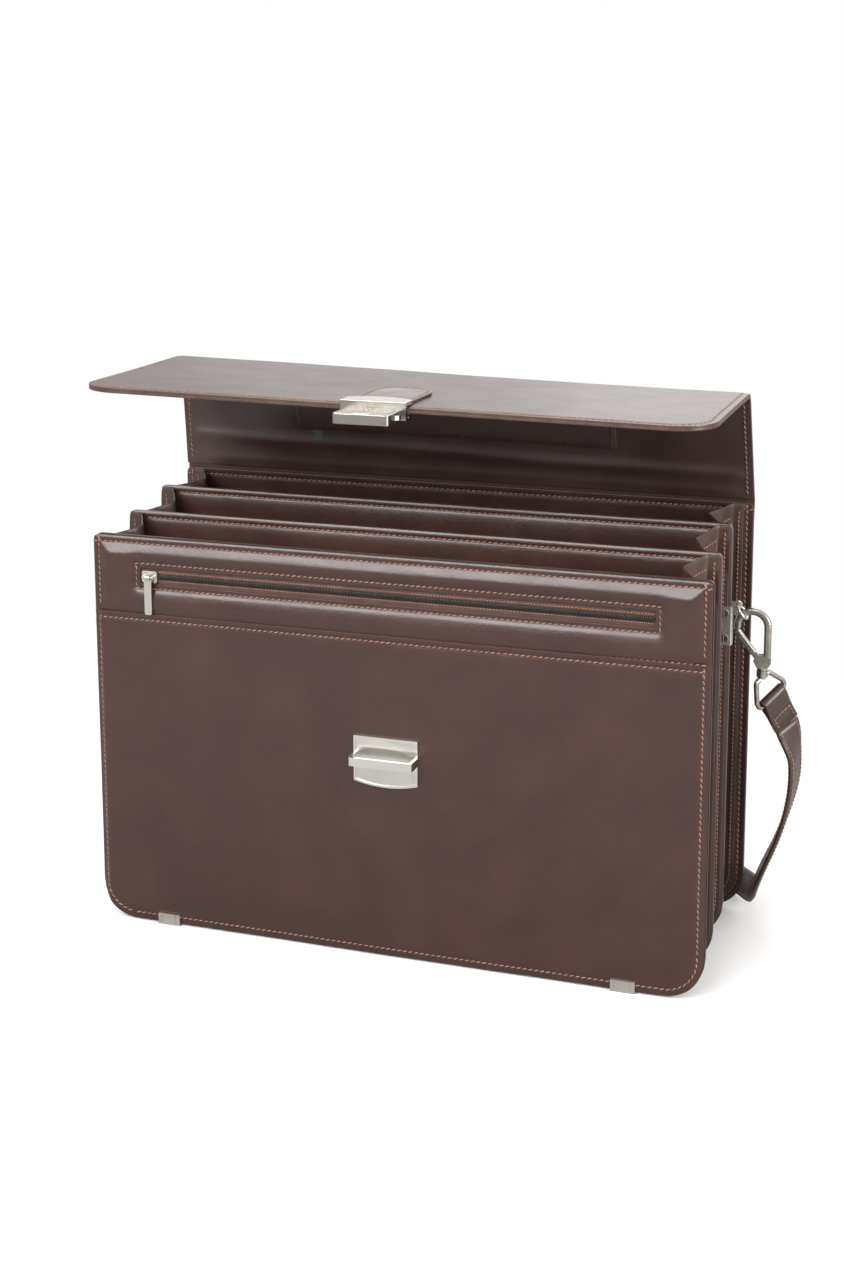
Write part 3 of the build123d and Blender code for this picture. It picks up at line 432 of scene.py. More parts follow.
# Which CAD nodes have which finish.
CAD_FINISHES = (
    (BRIGHT_NICKEL, "staple bracket_screws strap_ring_right strap_ring_left"),
    (SATIN_NICKEL, "staple_back_plate front_feet rear_feet zip_slider zip_puller strap_brackets"),
    (SATIN_NICKEL, "handle_brackets handle_rivets handle_core handle_ends lock_spring"),
    (LOCK_NICKEL_SHADED, "lock_frame lock_rivets lock_housing lock_button lock_catch_right lock_catch_left"),
    (AGED_NICKEL, "strap_buckle strap_hook_right strap_hook_left hook_gate_right hook_gate_left"),
    (AGED_NICKEL, "strap_dee_right strap_dee_left"),
    (BOARD, "front_board front_divider_board rear_divider_board rear_board flap_front_board"),
    (BRASS, "key_cylinder"),
    (KEY_TAB, "key_tab"),
    (TAPE, "zip_tape"),
    (POUCH, "zip_pouch"),
    (FOAM, "front_padding"),
)
for finish, nodes in CAD_FINISHES:
    for node in nodes.split():
        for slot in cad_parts[node].material_slots:
            slot.material = finish


# ---- stitching ----
PITCH = 3.9
STITCH = 3.3
THREAD_RADIUS = 0.5
SLANT = radians(16)


def stitch_shape():
    """One stitch along X: a short rounded thread, as rings of points and its faces."""
    sides = 6
    rings = ((-0.5, 0.25), (-0.3, 0.9), (0.0, 1.0), (0.3, 0.9), (0.5, 0.25))
    points = [
        (x * STITCH, THREAD_RADIUS * r * cos(2 * pi * k / sides), THREAD_RADIUS * r * sin(2 * pi * k / sides))
        for x, r in rings
        for k in range(sides)
    ]
    return np.array(points), tube_faces(len(rings), sides)


STITCH_POINTS, STITCH_FACES = stitch_shape()


def add_stitch(points, faces, stitch):
    """Adds one more stitch's points and faces."""
    faces += [tuple(i + len(points) for i in face) for face in STITCH_FACES]
    points += list(stitch)


def stitching(name, lines, thread=THREAD, pitch=PITCH, lift=0.1, size=1.0):
    """Stitches along lines; each line is its points and their normals, or one normal for all of them."""
    shape = STITCH_POINTS * (pitch / PITCH, size, size)
    points, faces = [], []
    for line, normals in lines:
        line = np.array(line, float)
        normals = np.broadcast_to(np.array(normals, float), line.shape)
        travel = distances(line)
        for s in np.arange(pitch * 0.6, travel[-1] - pitch * 0.3, pitch):
            along = unit(point_along(line, travel, s + 0.6) - point_along(line, travel, s - 0.6))
            across = unit(np.cross(point_along(normals, travel, s), along))
            up = np.cross(along, across)
            first = along * cos(SLANT) + across * sin(SLANT)
            second = across * cos(SLANT) - along * sin(SLANT)
            turned = shape @ np.array([first, second, up])
            add_stitch(points, faces, turned + point_along(line, travel, s) + up * lift)
    return mesh_object(name, points, faces, [thread])


def seam_path(half, low, high, distance, depth, top=True, bottom=True):
    """Points along a panel's stitches: up one side, across and down, round its bottom corners."""
    step = 4.0
    radius = BOTTOM_RADIUS - distance
    x, floor, end = half - distance, low + distance, high - (distance if top else 0)
    arc = [radians(a) for a in range(0, 91, 9)]
    right = [(x - radius + radius * sin(a), floor + radius - radius * cos(a)) for a in arc]
    path = []
    if bottom:
        path += [(px, floor) for px in spread(-(x - radius), x - radius, step)][:-1]
    path += right + [(x, z) for z in spread(floor + radius, end, step)][1:]
    if top:
        path += [(px, end) for px in spread(x, -x, step)][1:]
    path += [(-x, z) for z in spread(end, floor + radius, step)][1:]
    path += [(-px, pz) for px, pz in reversed(right)][1:]
    return [(px, depth(px, pz), pz) for px, pz in path]


# ---- front panel ----
def window_distance(px, pz):
    """Distance outside the zip's window."""
    return hypot(max(abs(px) - WINDOW_HALF, 0), max(abs(pz - WINDOW_Z) - WINDOW_HIGH, 0))


def leather_depth(px, pz):
    """The padded front above the pocket: full just inside its seams, and flat outside them."""
    edge = min(inset(px, pz, HALF, BASE), FRONT_TOP - pz)
    gap = window_distance(px, pz)
    full = 2.7 + 0.6 * smooth(WINDOW_Z, WINDOW_Z + 8, pz)
    puff = full * swell(gap - WINDOW_SEAM - 0.3, 4.5) * smooth(3.4, 13.0, edge)
    puff *= smooth(POCKET_TOP - 4.5, POCKET_TOP + 6.5, pz)
    groove = 0.35 * bump(gap, WINDOW_SEAM, 0.9) + 0.3 * bump(edge, SEAM, 1.0)
    pulled = 0.8 * (1 - smooth(0, 1.7, edge))
    return 2.1 - puff + groove + pulled + 0.22 * wobble(px, pz, 34, 1) * smooth(4, 12, edge)


def pocket_depth(px, pz):
    """The slip pocket's face, with a folded top edge."""
    edge = inset(px, pz, HALF, BASE)
    below = POCKET_TOP - pz
    side = HALF - abs(px)
    pulled = 2.6 * (1 - smooth(0, 7, side)) + 0.5 * (1 - smooth(0, 6, edge)) + 0.3 * bump(edge, SEAM, 1.2)
    fold = -0.45 * (1 - smooth(2.4, 3.6, below)) + 0.35 * bump(below, SEAM, 1.1) - 0.3 * bump(below, 9, 4)
    flat = smooth(24, 40, hypot(px, (pz - 135) * 1.2))
    return 0.05 + pulled + fold + (0.5 * wobble(px, pz, 95, 2) + 0.16 * wobble(px, pz, 30, 3)) * flat


def tacks(half, high, depth):
    """Short rows that cross at a panel's top corners and run out to its edges."""
    made = []
    for side in (1, -1):
        px, pz = side * (half - SEAM), high - SEAM
        for end_x, end_z in ((side * (half - 0.4), pz), (px, high - 0.4), (px - side * 1.2, high - 0.4)):
            spots = zip(np.linspace(px, end_x, 4), np.linspace(pz - 0.6, end_z, 4))
            made.append(([(a, depth(a, b) - 0.1, b) for a, b in spots], (0, -1, 0)))
    return made


def in_window(px, pz):
    return abs(px) < WINDOW_HALF and abs(pz - WINDOW_Z) < WINDOW_HIGH


def front_panel():
    """The front's leather, slip pocket and lining, and their stitches."""
    window_x = [s * (WINDOW_HALF + d) for s in (-1, 1) for d in (-6, 0, 1.4, 3, 4.6, 7, 10)]
    window_z = [WINDOW_Z + s * (WINDOW_HIGH + d) for s in (-1, 1) for d in (0, 1.4, 3, 4.6, 7, 10)]
    xs = columns(HALF, window_x)
    upper = rows(POCKET_TOP - 40, FRONT_TOP, window_z)
    point = panel_point(HALF, BASE, FRONT_TOP, leather_depth)
    finish = [FRONT_LEATHER, EDGE_PAINT_AND_HIGHLIGHT]
    leather_sheet = sheet("front_cover", xs, upper, point, 1.5, finish, skip=in_window, width=0.6)
    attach(leather_sheet, "front_panel")
    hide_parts("front_leather")

    point = panel_point(HALF, BASE, POCKET_TOP, pocket_depth, 1.5)
    pocket = sheet("pocket", columns(HALF), rows(BASE, POCKET_TOP), point, 1.7, finish, width=0.6)
    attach(pocket, "front_panel")
    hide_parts("slip_pocket")

    point = panel_point(HALF, BASE, FRONT_TOP, lambda px, pz: LINING_Y)
    lining = sheet("front_inside", columns(HALF), rows(BASE, FRONT_TOP), point, FRONT_BACK - LINING_Y,
                   [INNER_LINING, EDGE_PAINT_AND_HIGHLIGHT])
    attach(lining, "front_panel")
    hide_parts("front_lining")

    outline = seam_path(HALF, BASE, FRONT_TOP, SEAM, leather_depth, bottom=False)
    outline = [p for p in outline if p[2] > POCKET_TOP]
    lower = seam_path(HALF, BASE, POCKET_TOP, SEAM, pocket_depth, top=False)
    x, high = WINDOW_HALF + WINDOW_SEAM, WINDOW_HIGH + WINDOW_SEAM
    ends = [(s * x, z) for s in (1, -1) for z in (WINDOW_Z - s * high, WINDOW_Z + s * high)]
    corners = ends + ends[:1]
    window = [
        (px, leather_depth(px, pz) - 0.2, pz)
        for (x0, z0), (x1, z1) in zip(corners, corners[1:])
        for px, pz in zip(np.linspace(x0, x1, 60), np.linspace(z0, z1, 60))
    ]
    hem_z = POCKET_TOP - SEAM
    hem = [(px, pocket_depth(px, hem_z), hem_z) for px in spread(-HALF + 3, HALF - 3, 4)]
    split = len(lower) // 2
    inner = [(px, FRONT_BACK, FRONT_TOP - SEAM) for px in spread(HALF - 23, 23 - HALF, 6)]
    thread = stitching("front_thread", [
        (outline, (0, -1, 0)), (lower[:split], (0, -1, 0)), (lower[split - 1:], (0, -1, 0)),
        (window, (0, -1, 0)), (hem, (0, -1, 0)), (inner, (0, 1, 0)), *tacks(HALF, FRONT_TOP, leather_depth),
    ])
    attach(thread, "front_panel")


def zip_teeth():
    """The coil's turns, leaning one way, and a row of thread along each side of them."""
    chain_y = low_of("zip_chain", Y) + 0.9
    lean = np.array((1.0, 0.0, 3.8))
    shape = STITCH_POINTS * (np.linalg.norm(lean) / STITCH, 1.35, 1.6)
    turned = shape @ np.array([unit(lean), np.cross((0, -1, 0), unit(lean)), (0, -1, 0)])
    points, faces = [], []
    for px in spread(-WINDOW_HALF + 1.5, WINDOW_HALF - 1.5, 1.25):
        add_stitch(points, faces, turned + (px, chain_y, WINDOW_Z))
    coil = mesh_object("zip_coil", points, faces, [COIL])
    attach(coil, "front_panel")
    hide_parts("zip_chain")
    tape_y = low_of("zip_tape", Y)
    xs = spread(1 - WINDOW_HALF, WINDOW_HALF - 1, 10)
    sides = [([(px, tape_y, WINDOW_Z + s * 2.9) for px in xs], (0, -1, 0)) for s in (-1, 1)]
    thread = stitching("zip_thread", sides, pitch=2.2, size=0.75)
    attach(thread, "front_panel")


# ---- dividers ----
def divider(name, nodes, seed):
    """A divider: two leather faces pulled together along their seam, a little wavy along the top."""
    node = nodes + "_leather"
    half, top = high_of(node, X), high_of(node, Z)
    front, back = low_of(node, Y), high_of(node, Y)

    def wave(px, pz):
        free = smooth(4, 60, half - abs(px)) * smooth(120, top, pz)
        return free * (1.7 * wobble(px, pz, 120, seed) + 0.5 * wobble(px, pz, 40, seed + 5))

    def pulled(px, pz):
        edge = min(inset(px, pz, half, BASE), top - pz)
        fullness = 1.2 * swell(top - pz - SEAM, 5.5) * (1 - smooth(16, 62, top - pz))
        return 0.7 * (1 - smooth(0, 1.7, edge)) + 0.3 * bump(edge, SEAM, 1.0) - fullness

    def face(px, pz):
        return front + pulled(px, pz) + wave(px, pz)

    def rear(px, pz):
        return back - pulled(px, pz) + wave(px, pz)

    body = sheet(
        name, columns(half), rows(BASE, top), panel_point(half, BASE, top, face), 0,
        [PANEL_LEATHER, EDGE_PAINT_AND_HIGHLIGHT], back=panel_point(half, BASE, top, rear), width=0.7,
    )
    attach(body, nodes)
    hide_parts(node, nodes + "_board")
    z = top - SEAM
    xs = spread(half - GUSSET_ROOM, GUSSET_ROOM - half, 4)
    thread = stitching(name + "_thread", [
        ([(px, face(px, z), z) for px in xs], (0, -1, 0)), ([(px, rear(px, z), z) for px in xs], (0, 1, 0)),
    ])
    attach(thread, nodes)


# ---- gussets ----
GUSSET_DEPTH = 19.5
FLANGE = 8.5


def gusset(name, nodes, joint, front, back, front_top, back_top, half, keep, anchor):
    """A gusset round the sides and bottom: flanges sewn to two panels, with a soft fold inwards between."""
    length = back - front
    flange = 0.8

    def across(w):
        """Depth inwards and Y at w, from 0 at the front panel's edge to 1 at the back panel's."""
        if w < 0.2:
            return 0.7 + (FLANGE - 0.7) * w / 0.2, front + flange
        if w > 0.8:
            return 0.7 + (FLANGE - 0.7) * (1 - w) / 0.2, back - flange
        q = (w - 0.2) / 0.6
        fold = (1 - abs(2 * q - 1) ** 1.35) * (GUSSET_DEPTH - FLANGE)
        return FLANGE + fold, front + flange + (length - 2 * flange) * (q + 0.04 * sin(2 * pi * q))

    def point(t, w):
        """t runs from the right top (0) down, along the bottom, and up to the left top (1)."""
        depth, py = across(w)
        loose = smooth(0.2, 0.35, w) * smooth(0.8, 0.65, w)
        top = front_top + (back_top - front_top) * (py - front) / length - 0.8 * loose
        width = half - depth
        floor = BASE + 1.0 + depth * 0.42
        radius = BOTTOM_RADIUS - 0.25 * depth
        side = top - floor - radius
        bottom = 2 * (width - radius)
        shares = (0.34, 0.07, 0.18, 0.07, 0.34)
        marks = np.cumsum((0,) + shares)
        part = min(int(np.searchsorted(marks, t, side="right")) - 1, 4)
        f = (t - marks[part]) / shares[part]
        if part == 0:
            px, pz, nx, nz = width, top - side * f, 1, 0
        elif part == 1:
            a = f * pi / 2
            px, pz = width - radius + radius * cos(a), floor + radius - radius * sin(a)
            nx, nz = cos(a), -sin(a)
        elif part == 2:
            px, pz, nx, nz = width - radius - bottom * f, floor, 0, -1
        elif part == 3:
            a = (1 - f) * pi / 2
            px, pz = -(width - radius + radius * cos(a)), floor + radius - radius * sin(a)
            nx, nz = -cos(a), -sin(a)
        else:
            px, pz, nx, nz = -width, top - side * (1 - f), -1, 0
        crumple = 1.3 * wobble(pz * 0.35 + px, py * 3, 30, seed) + 0.6 * wobble(pz, py * 4, 22, seed + 3)
        hem = 0.5 * (1 - smooth(4.6, 5.6, top - pz))
        shift = loose * crumple + hem
        return (px + nx * shift, py, pz + nz * shift * 0.5)

    seed = back / 10
    ts = [0, 0.004, 0.01, 0.016, 0.022, 0.03] + spread(0.04, 0.34, 0.01) + spread(0.347, 0.41, 0.007)[:-1]
    ts += spread(0.41, 0.5, 0.02)
    ts = sorted(set(ts) | {1 - t for t in ts})
    ws = [0, 0.1, 0.19, 0.23] + spread(0.27, 0.73, 0.0288) + [0.77, 0.81, 0.9, 1]
    body = sheet(name, ts, ws, point, 1.1, [GUSSET_LEATHER, EDGE_PAINT_AND_HIGHLIGHT])
    lines = []
    for side in (0, 1):
        def place(t, w):
            return point(t if side == 0 else 1 - t, w)
        outward = (1 if side == 0 else -1, 0, 0)
        lines.append(([place(0.0135, w) for w in np.linspace(0.2, 0.8, 40)], outward))
        lines.append(([place(t, 0.92) for t in np.linspace(0.006, 0.4, 90)], (0, -1, 0)))
        lines.append(([place(t, 0.08) for t in np.linspace(0.006, 0.4, 90)], (0, 1, 0)))
    thread = stitching(name + "_thread", lines, pitch=3.0, lift=0.15)
    for piece in (body, thread):
        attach(piece, "rear")
        tuple(at(0, anchor, 0))
        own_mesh(piece)
    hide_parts(nodes)


def gussets():
    """The three gussets, each between two neighbouring panels."""
    front, rear = "front_divider_leather", "rear_divider_leather"
    # Each panel's front, back and top, and how far it moves back.
    panels = (
        (FRONT_BACK, FRONT_BACK, FRONT_TOP, 82.0),
        (low_of(front, Y), high_of(front, Y), high_of(front, Z), 57.06),
        (low_of(rear, Y), high_of(rear, Y), high_of(rear, Z), 30.0),
        (REAR_FRONT, REAR_FRONT, REAR_TOP, 0.0),
    )
    halves = (high_of(front, X) - 1, high_of(rear, X) - 1, high_of(rear, X) - 1)
    names = ("gusset_front", "gusset_middle", "gusset_rear")
    joints = ("front_slide", "front_divider_slide", "rear_divider_slide")
    for name, joint, half, ahead, behind in zip(names, joints, halves, panels, panels[1:]):
        start, end = ahead[1], behind[0]
        keep = (end + behind[3] - start - ahead[3]) / (end - start)
        anchor = (start + ahead[3] - start * keep) / (1 - keep)
        tops = (ahead[2] - 0.6, behind[2] - 0.6)
        gusset(name + "_fold", name, joint, start, end, *tops, half, keep, anchor)


# ---- rear panel and flap ----
def flap_line(px):
    """The flap's middle line at X = px: its hinge, crease and free edge, as (Y, Z)."""
    turn = px / HALF
    crease = (CREASE_Y - TWIST_Y * turn, CREASE_Z - TWIST_Z * turn)
    edge = (CREASE_Y - FLAP_REACH, CREASE_Z - 0.6 - (TWIST_Z + 0.4) * turn)
    return (HINGE_Y, HINGE_Z), crease, edge


def flap_point(px, s, w):
    """A point s along the flap from its hinge and w out from its middle surface, at X = px.
    The handle's brackets and patch keep the leather between them flat; the crease above them is twisted."""
    hinge, crease, edge = flap_line(px)
    first, second = (np.array(b) - np.array(a) for a, b in ((hinge, crease), (crease, edge)))
    rise, reach = np.linalg.norm(first), np.linalg.norm(second)
    first, second = first / rise, second / reach
    turn = np.arccos(np.clip(first @ second, -1, 1))
    tangent = CREASE_RADIUS * np.tan(turn / 2)
    arc = CREASE_RADIUS * turn
    s = s * (rise + reach - 2 * tangent + arc) / FLAP_LENGTH
    if s < rise - tangent:
        middle, along = np.array(hinge) + first * s, first
    elif s < rise - tangent + arc:
        a = (s - rise + tangent) / CREASE_RADIUS
        start = np.array(crease) - first * tangent
        along = first * cos(a) + np.array((-first[1], first[0])) * sin(a)
        centre = start + CREASE_RADIUS * np.array((-first[1], first[0]))
        middle = centre - CREASE_RADIUS * np.array((-along[1], along[0]))
    else:
        middle = np.array(crease) + second * (tangent + s - rise + tangent - arc)
        along = second
    untwisted = 1 - smooth(BRACKET_X, BRACKET_X + 60, abs(px))
    untwisted *= (1 - smooth(BRACKETS_END, BRACKETS_END + 28, s)) * s / rise
    middle = middle - (np.array(crease) - (CREASE_Y, CREASE_Z)) * untwisted
    out = np.array((along[1], -along[0]))
    middle = middle + out * w
    return px, middle[0], middle[1]


FLAP_TURN = pi / 2 - FLAP_LEAN
FLAP_BEND = CREASE_RADIUS * FLAP_TURN
FLAP_LENGTH = FLAP_RISE + FLAP_REACH - 2 * CREASE_RADIUS * np.tan(FLAP_TURN / 2) + FLAP_BEND
FLAP_NEAR = FLAP_LENGTH - 70  # beyond this the flap is squeezed to round its corners
CUT = 40.0  # where the outer leather of the upright part is in two pieces, behind the handle's brackets


def flap_end(px, s):
    """s squeezed so that the flap's free corners are rounded."""
    if s <= FLAP_NEAR:
        return s
    end = FLAP_LENGTH - corner_cut(px, HALF, FLAP_CORNER)
    return FLAP_NEAR + (s - FLAP_NEAR) * (end - FLAP_NEAR) / (FLAP_LENGTH - FLAP_NEAR)


def flap_relief(px, s):
    """Slow waves of the flap's surface."""
    free = smooth(0, 30, s) * smooth(FLAP_LENGTH, FLAP_LENGTH - 30, s) * smooth(24, 45, hypot(px, s - LOCK_S))
    return free * (0.9 * wobble(px, s, 130, 11) + 0.25 * wobble(px, s, 45, 12))


def flap_edge(px, s):
    """Distance from the flap's side and free edges."""
    return inset(px, FLAP_LENGTH - s, HALF, 0, FLAP_CORNER)


def flap_outer(px, s):
    s = flap_end(px, s)
    edge = flap_edge(px, s)
    drop = 0.5 * (1 - smooth(0, 6, edge)) + 0.25 * bump(edge, SEAM, 1.1)
    return flap_point(px, s, FLAP_HALF - drop + flap_relief(px, s))


def flap_inner(px, s):
    """The lining's face, rippled above the rear panel where the flap bends back."""
    s = flap_end(px, s)
    lower = bump(s, 6.5 + 0.6 * wobble(px, 0, 90, 21), 2.6) * (0.55 + 0.1 * wobble(px, 0, 60, 22))
    upper = bump(s, 21.5 + 2.6 * wobble(px, 0, 150, 23) - px / 120, 4.4) * (1.7 + 0.3 * wobble(px, 0, 80, 24))
    ripple = (lower + upper) * smooth(0, 4, s) * smooth(0, 14, HALF - abs(px))
    return flap_point(px, s, -FLAP_HALF + flap_relief(px, s) - ripple)


def back_outer(px, z):
    """The rear panel's outer face below the hinge, and the flap's outer face above it."""
    if z > HINGE_Z:
        return flap_point(px, z - HINGE_Z, FLAP_HALF - 0.5 * (1 - smooth(0, 6, HALF - abs(px))))
    edge = inset(px, z, HALF, BASE)
    pulled = 1.2 * (1 - smooth(0, 6.5, edge)) * smooth(HINGE_Z, HINGE_Z - 20, z)
    pulled += 0.25 * bump(edge, SEAM, 1.1)
    x, _, z = panel_point(HALF, BASE, HINGE_Z + 60, lambda a, b: 0)(px, z)
    wave = 0.5 * wobble(px, z, 110, 31) * smooth(0, 30, edge) * smooth(HINGE_Z, HINGE_Z - 40, z)
    return x, HINGE_Y + FLAP_HALF - 0.15 - pulled - abs(wave), z


def across_hinge(piece):
    """Bakes a piece's placement into its mesh; used for pieces that reach from the rear panel into the flap's
    upright part.
    """
    start, end = at(0, HINGE_Y, HINGE_Z - 6), at(0, HINGE_Y, HINGE_Z + 6)
    tuple(start)
    tuple(end)
    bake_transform(piece)


def across_crease(piece):
    """Bakes a piece's placement into its mesh; used for pieces that reach from the flap's upright part over
    the crease.
    """
    start, end = at(0, CREASE_Y + 2.2, CREASE_Z - 9), at(0, CREASE_Y - 9, CREASE_Z + 1)
    tuple(start)
    tuple(end)
    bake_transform(piece)


def rear_panel():
    """The rear panel's lining and its outer leather, which runs on into the flap."""
    def lining_depth(px, pz):
        edge = min(inset(px, pz, HALF, BASE), REAR_TOP - pz)
        return REAR_FRONT + 0.3 * bump(edge, SEAM, 1.1) + 0.25 * wobble(px, pz, 90, 33) * smooth(0, 20, edge)

    point = panel_point(HALF, BASE, REAR_TOP, lining_depth)
    finish = [PANEL_LEATHER, EDGE_PAINT_AND_HIGHLIGHT]
    lining = sheet("rear_inside", columns(HALF), rows(BASE, REAR_TOP), point, 1.6, finish, width=0.6)
    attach(lining, "rear")
    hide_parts("rear_lining")

    zs = sorted(set(rows(BASE, HINGE_Z - 12)) | set(spread(HINGE_Z - 12, HINGE_Z + CUT, 2)))
    cover = sheet("back_cover", columns(HALF)[::-1], zs, back_outer, 1.5, [FLAP_LEATHER, EDGE_PAINT_AND_HIGHLIGHT])
    across_hinge(cover)
    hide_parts("rear_leather")

    thread = stitching("rear_thread", [
        (seam_path(HALF, BASE, REAR_TOP, SEAM, lining_depth, bottom=False), (0, -1, 0)),
        *tacks(HALF, REAR_TOP, lining_depth),
    ])
    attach(thread, "rear")
    back = seam_path(HALF, BASE, HINGE_Z, SEAM, lambda px, pz: back_outer(px, pz)[1], top=False)
    half_way = len(back) // 2
    up = [back_outer(s * (HALF - SEAM), z) for s in (1, -1) for z in spread(HINGE_Z + 0.5, HINGE_Z + CUT, 3)]
    count = len(up) // 2
    lines = (back[:half_way], back[half_way - 1:], up[:count], up[count:])
    thread = stitching("back_thread", [(line, (0, 1, 0)) for line in lines])
    across_hinge(thread)


def flap():
    """The flap's outer leather and lining, over the crease to the rounded free corners, and their thread."""
    steps = spread(CUT, FLAP_RISE - 14, 4) + spread(FLAP_RISE - 12, FLAP_RISE + 8, 1.6)
    steps += spread(FLAP_RISE + 12, FLAP_LENGTH - 27, 6) + [FLAP_LENGTH - d for d in reversed(NEAR_EDGE)][1:]
    cover = sheet("flap_cover", columns(HALF)[::-1], steps, flap_outer, 1.6, [FLAP_LEATHER, EDGE_PAINT_AND_HIGHLIGHT])
    lower = spread(0.6, 44, 1.7) + [s for s in steps if s > 45]
    lining = sheet("flap_inside", columns(HALF), lower, flap_inner, 1.6, [FLAP_LINING, EDGE_PAINT_AND_HIGHLIGHT])
    for piece, slot_name in ((cover, "flap_leather"), (lining, "flap_lining")):
        across_crease(piece)
    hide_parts("flap_top_leather", "flap_front_leather")
    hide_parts("flap_top_lining", "flap_front_lining", "flap_front_board")

    def border(point, start):
        """The seam line down one side, round the free edge and up the other, with the lock left out."""
        radius = FLAP_CORNER - SEAM
        end, x = FLAP_LENGTH - SEAM, HALF - SEAM
        arc = [radians(a) for a in range(0, 91, 9)]
        half_line = [(x, s) for s in spread(start, end - radius, 4)]
        half_line += [(x - radius + radius * cos(a), end - radius + radius * sin(a)) for a in arc][1:]
        half_line += [(px, end) for px in spread(x - radius, 23, 4)][1:]
        return [[point(side * px, s) for px, s in half_line] for side in (1, -1)]

    def surface(face):
        """The face as a function of the true distance s, with its squeeze near the corners undone."""
        def point(px, s):
            if s <= FLAP_NEAR:
                return np.array(face(px, s))
            end = FLAP_LENGTH - corner_cut(px, HALF, FLAP_CORNER)
            raw = FLAP_NEAR + (s - FLAP_NEAR) * (FLAP_LENGTH - FLAP_NEAR) / (end - FLAP_NEAR)
            return np.array(face(px, raw))
        return point

    def lines(face, start):
        made = []
        for line in border(surface(face), start):
            bent = flap_normals(line)
            made.append((line, bent if face is flap_outer else -bent))
        return made

    thread = stitching("flap_thread", lines(flap_outer, CUT) + lines(flap_inner, 4.0))
    across_crease(thread)


def flap_normals(line):
    """Outward normals at points of the flap."""
    normals = []
    for _, y, z in line:
        upright = smooth(CREASE_Y - 8, CREASE_Y + 8, y) * smooth(CREASE_Z + 4, CREASE_Z - 10, z)
        normal = np.array((0, cos(FLAP_LEAN), sin(FLAP_LEAN))) * upright + np.array((0, 0, 1)) * (1 - upright)
        normals.append(unit(normal))
    return np.array(normals)


def patch():
    """The stitched patch inside the upright part, and the thread round it."""
    half = high_of("lining_patch", X)
    start, end = 33.5, 76.0
    seam = 3

    def point(px, s):
        edge = min(half - abs(px), s - start)
        return flap_point(px, s, -FLAP_HALF - 2.6 + 0.35 * (1 - smooth(0, 4, edge)))

    finish = [FLAP_LINING, EDGE_PAINT_AND_HIGHLIGHT]
    body = sheet("handle_patch", spread(-half, half, 6), spread(start, end, 3), point, 2.4, finish)
    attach(body, "flap_top")
    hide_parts("lining_patch")
    inner = half - seam
    path = [point(-inner, s) for s in spread(end - seam, start + seam, 3)]
    path += [point(px, start + seam) for px in spread(-inner, inner, 4)][1:]
    path += [point(inner, s) for s in spread(start + seam, end - seam, 3)][1:]
    thread = stitching("patch_thread", [(path, (0, -1, -0.2))], thread=DARK_THREAD)
    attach(thread, "flap_top")


def tongue():
    """The leather tongue above the lock: straight sides, a round end, and a raised border."""
    half, top = high_of("lock_tongue", X), high_of("lock_tongue", Z)
    near, far = high_of("lock_tongue", Y), low_of("lock_tongue", Y)
    radius = 17.0

    def point(px, v):
        length = near - far - corner_cut(px, half, radius)
        y = far + v * length
        edge = inset(px, near - y, half, 0, radius)
        rise = 0.25 * smooth(0, 1.5, edge) - 0.5 * bump(edge, 2.6, 0.8) + 0.5 * smooth(5, 14, edge)
        return px, y, top - 0.3 + rise

    steps = (0, 0.5, 1.2, 1.9, 2.6, 3.4, 5, 7, 9.5, 12.5, 16, 20)
    xs = sorted({s * (half - d) for s in (1, -1) for d in steps})
    vs = [0, 0.2, 0.4, 0.55, 0.68, 0.78, 0.85, 0.9, 0.93, 0.95, 0.965, 0.978, 0.99, 1]
    body = sheet("tongue", xs, vs, point, 1.6, [STRAP_LEATHER, EDGE_PAINT_AND_HIGHLIGHT])
    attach(body, "flap_front")
    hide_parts("lock_tongue")
    distance = 2.6
    x, end, r = half - distance, near - distance, radius - distance
    path = [(x, y, top) for y in spread(far + 6, end - r, 3)]
    path += [(x - r + r * cos(a), end - r + r * sin(a), top) for a in (radians(d) for d in range(9, 91, 9))]
    path += [(-px, y, z) for px, y, z in reversed(path)]
    thread = stitching("tongue_thread", [(path, (0, 0, 1))], pitch=2.4, lift=-0.35)
    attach(thread, "flap_front")


# ---- handle ----
PIVOT_OUT, PIVOT_UP = 11.0, 40.0  # the handle's pivot, out from the hinge and up along the flap
HANDLE_TILT = radians(13.0)


def rounded_line(corners, radius):
    """A flat line from corner to corner, rounded at the inner ones."""
    line = [np.array(corners[0])]
    for before, corner, after in zip(corners, corners[1:], corners[2:]):
        a, b, c = (np.array(p) for p in (before, corner, after))
        into, away = unit(b - a), unit(c - b)
        turn = np.arccos(into @ away)
        reach = radius * np.tan(turn / 2)
        centre = b + unit(away - into) * hypot(radius, reach)
        start = b - into * reach - centre
        for k in range(9):
            angle = turn * k / 8 * (-1 if into[0] * away[1] - into[1] * away[0] < 0 else 1)
            turned = Matrix.Rotation(angle, 2) @ Vector(start)
            line.append(centre + np.array(turned))
    line.append(np.array(corners[-1]))
    return np.array(line)


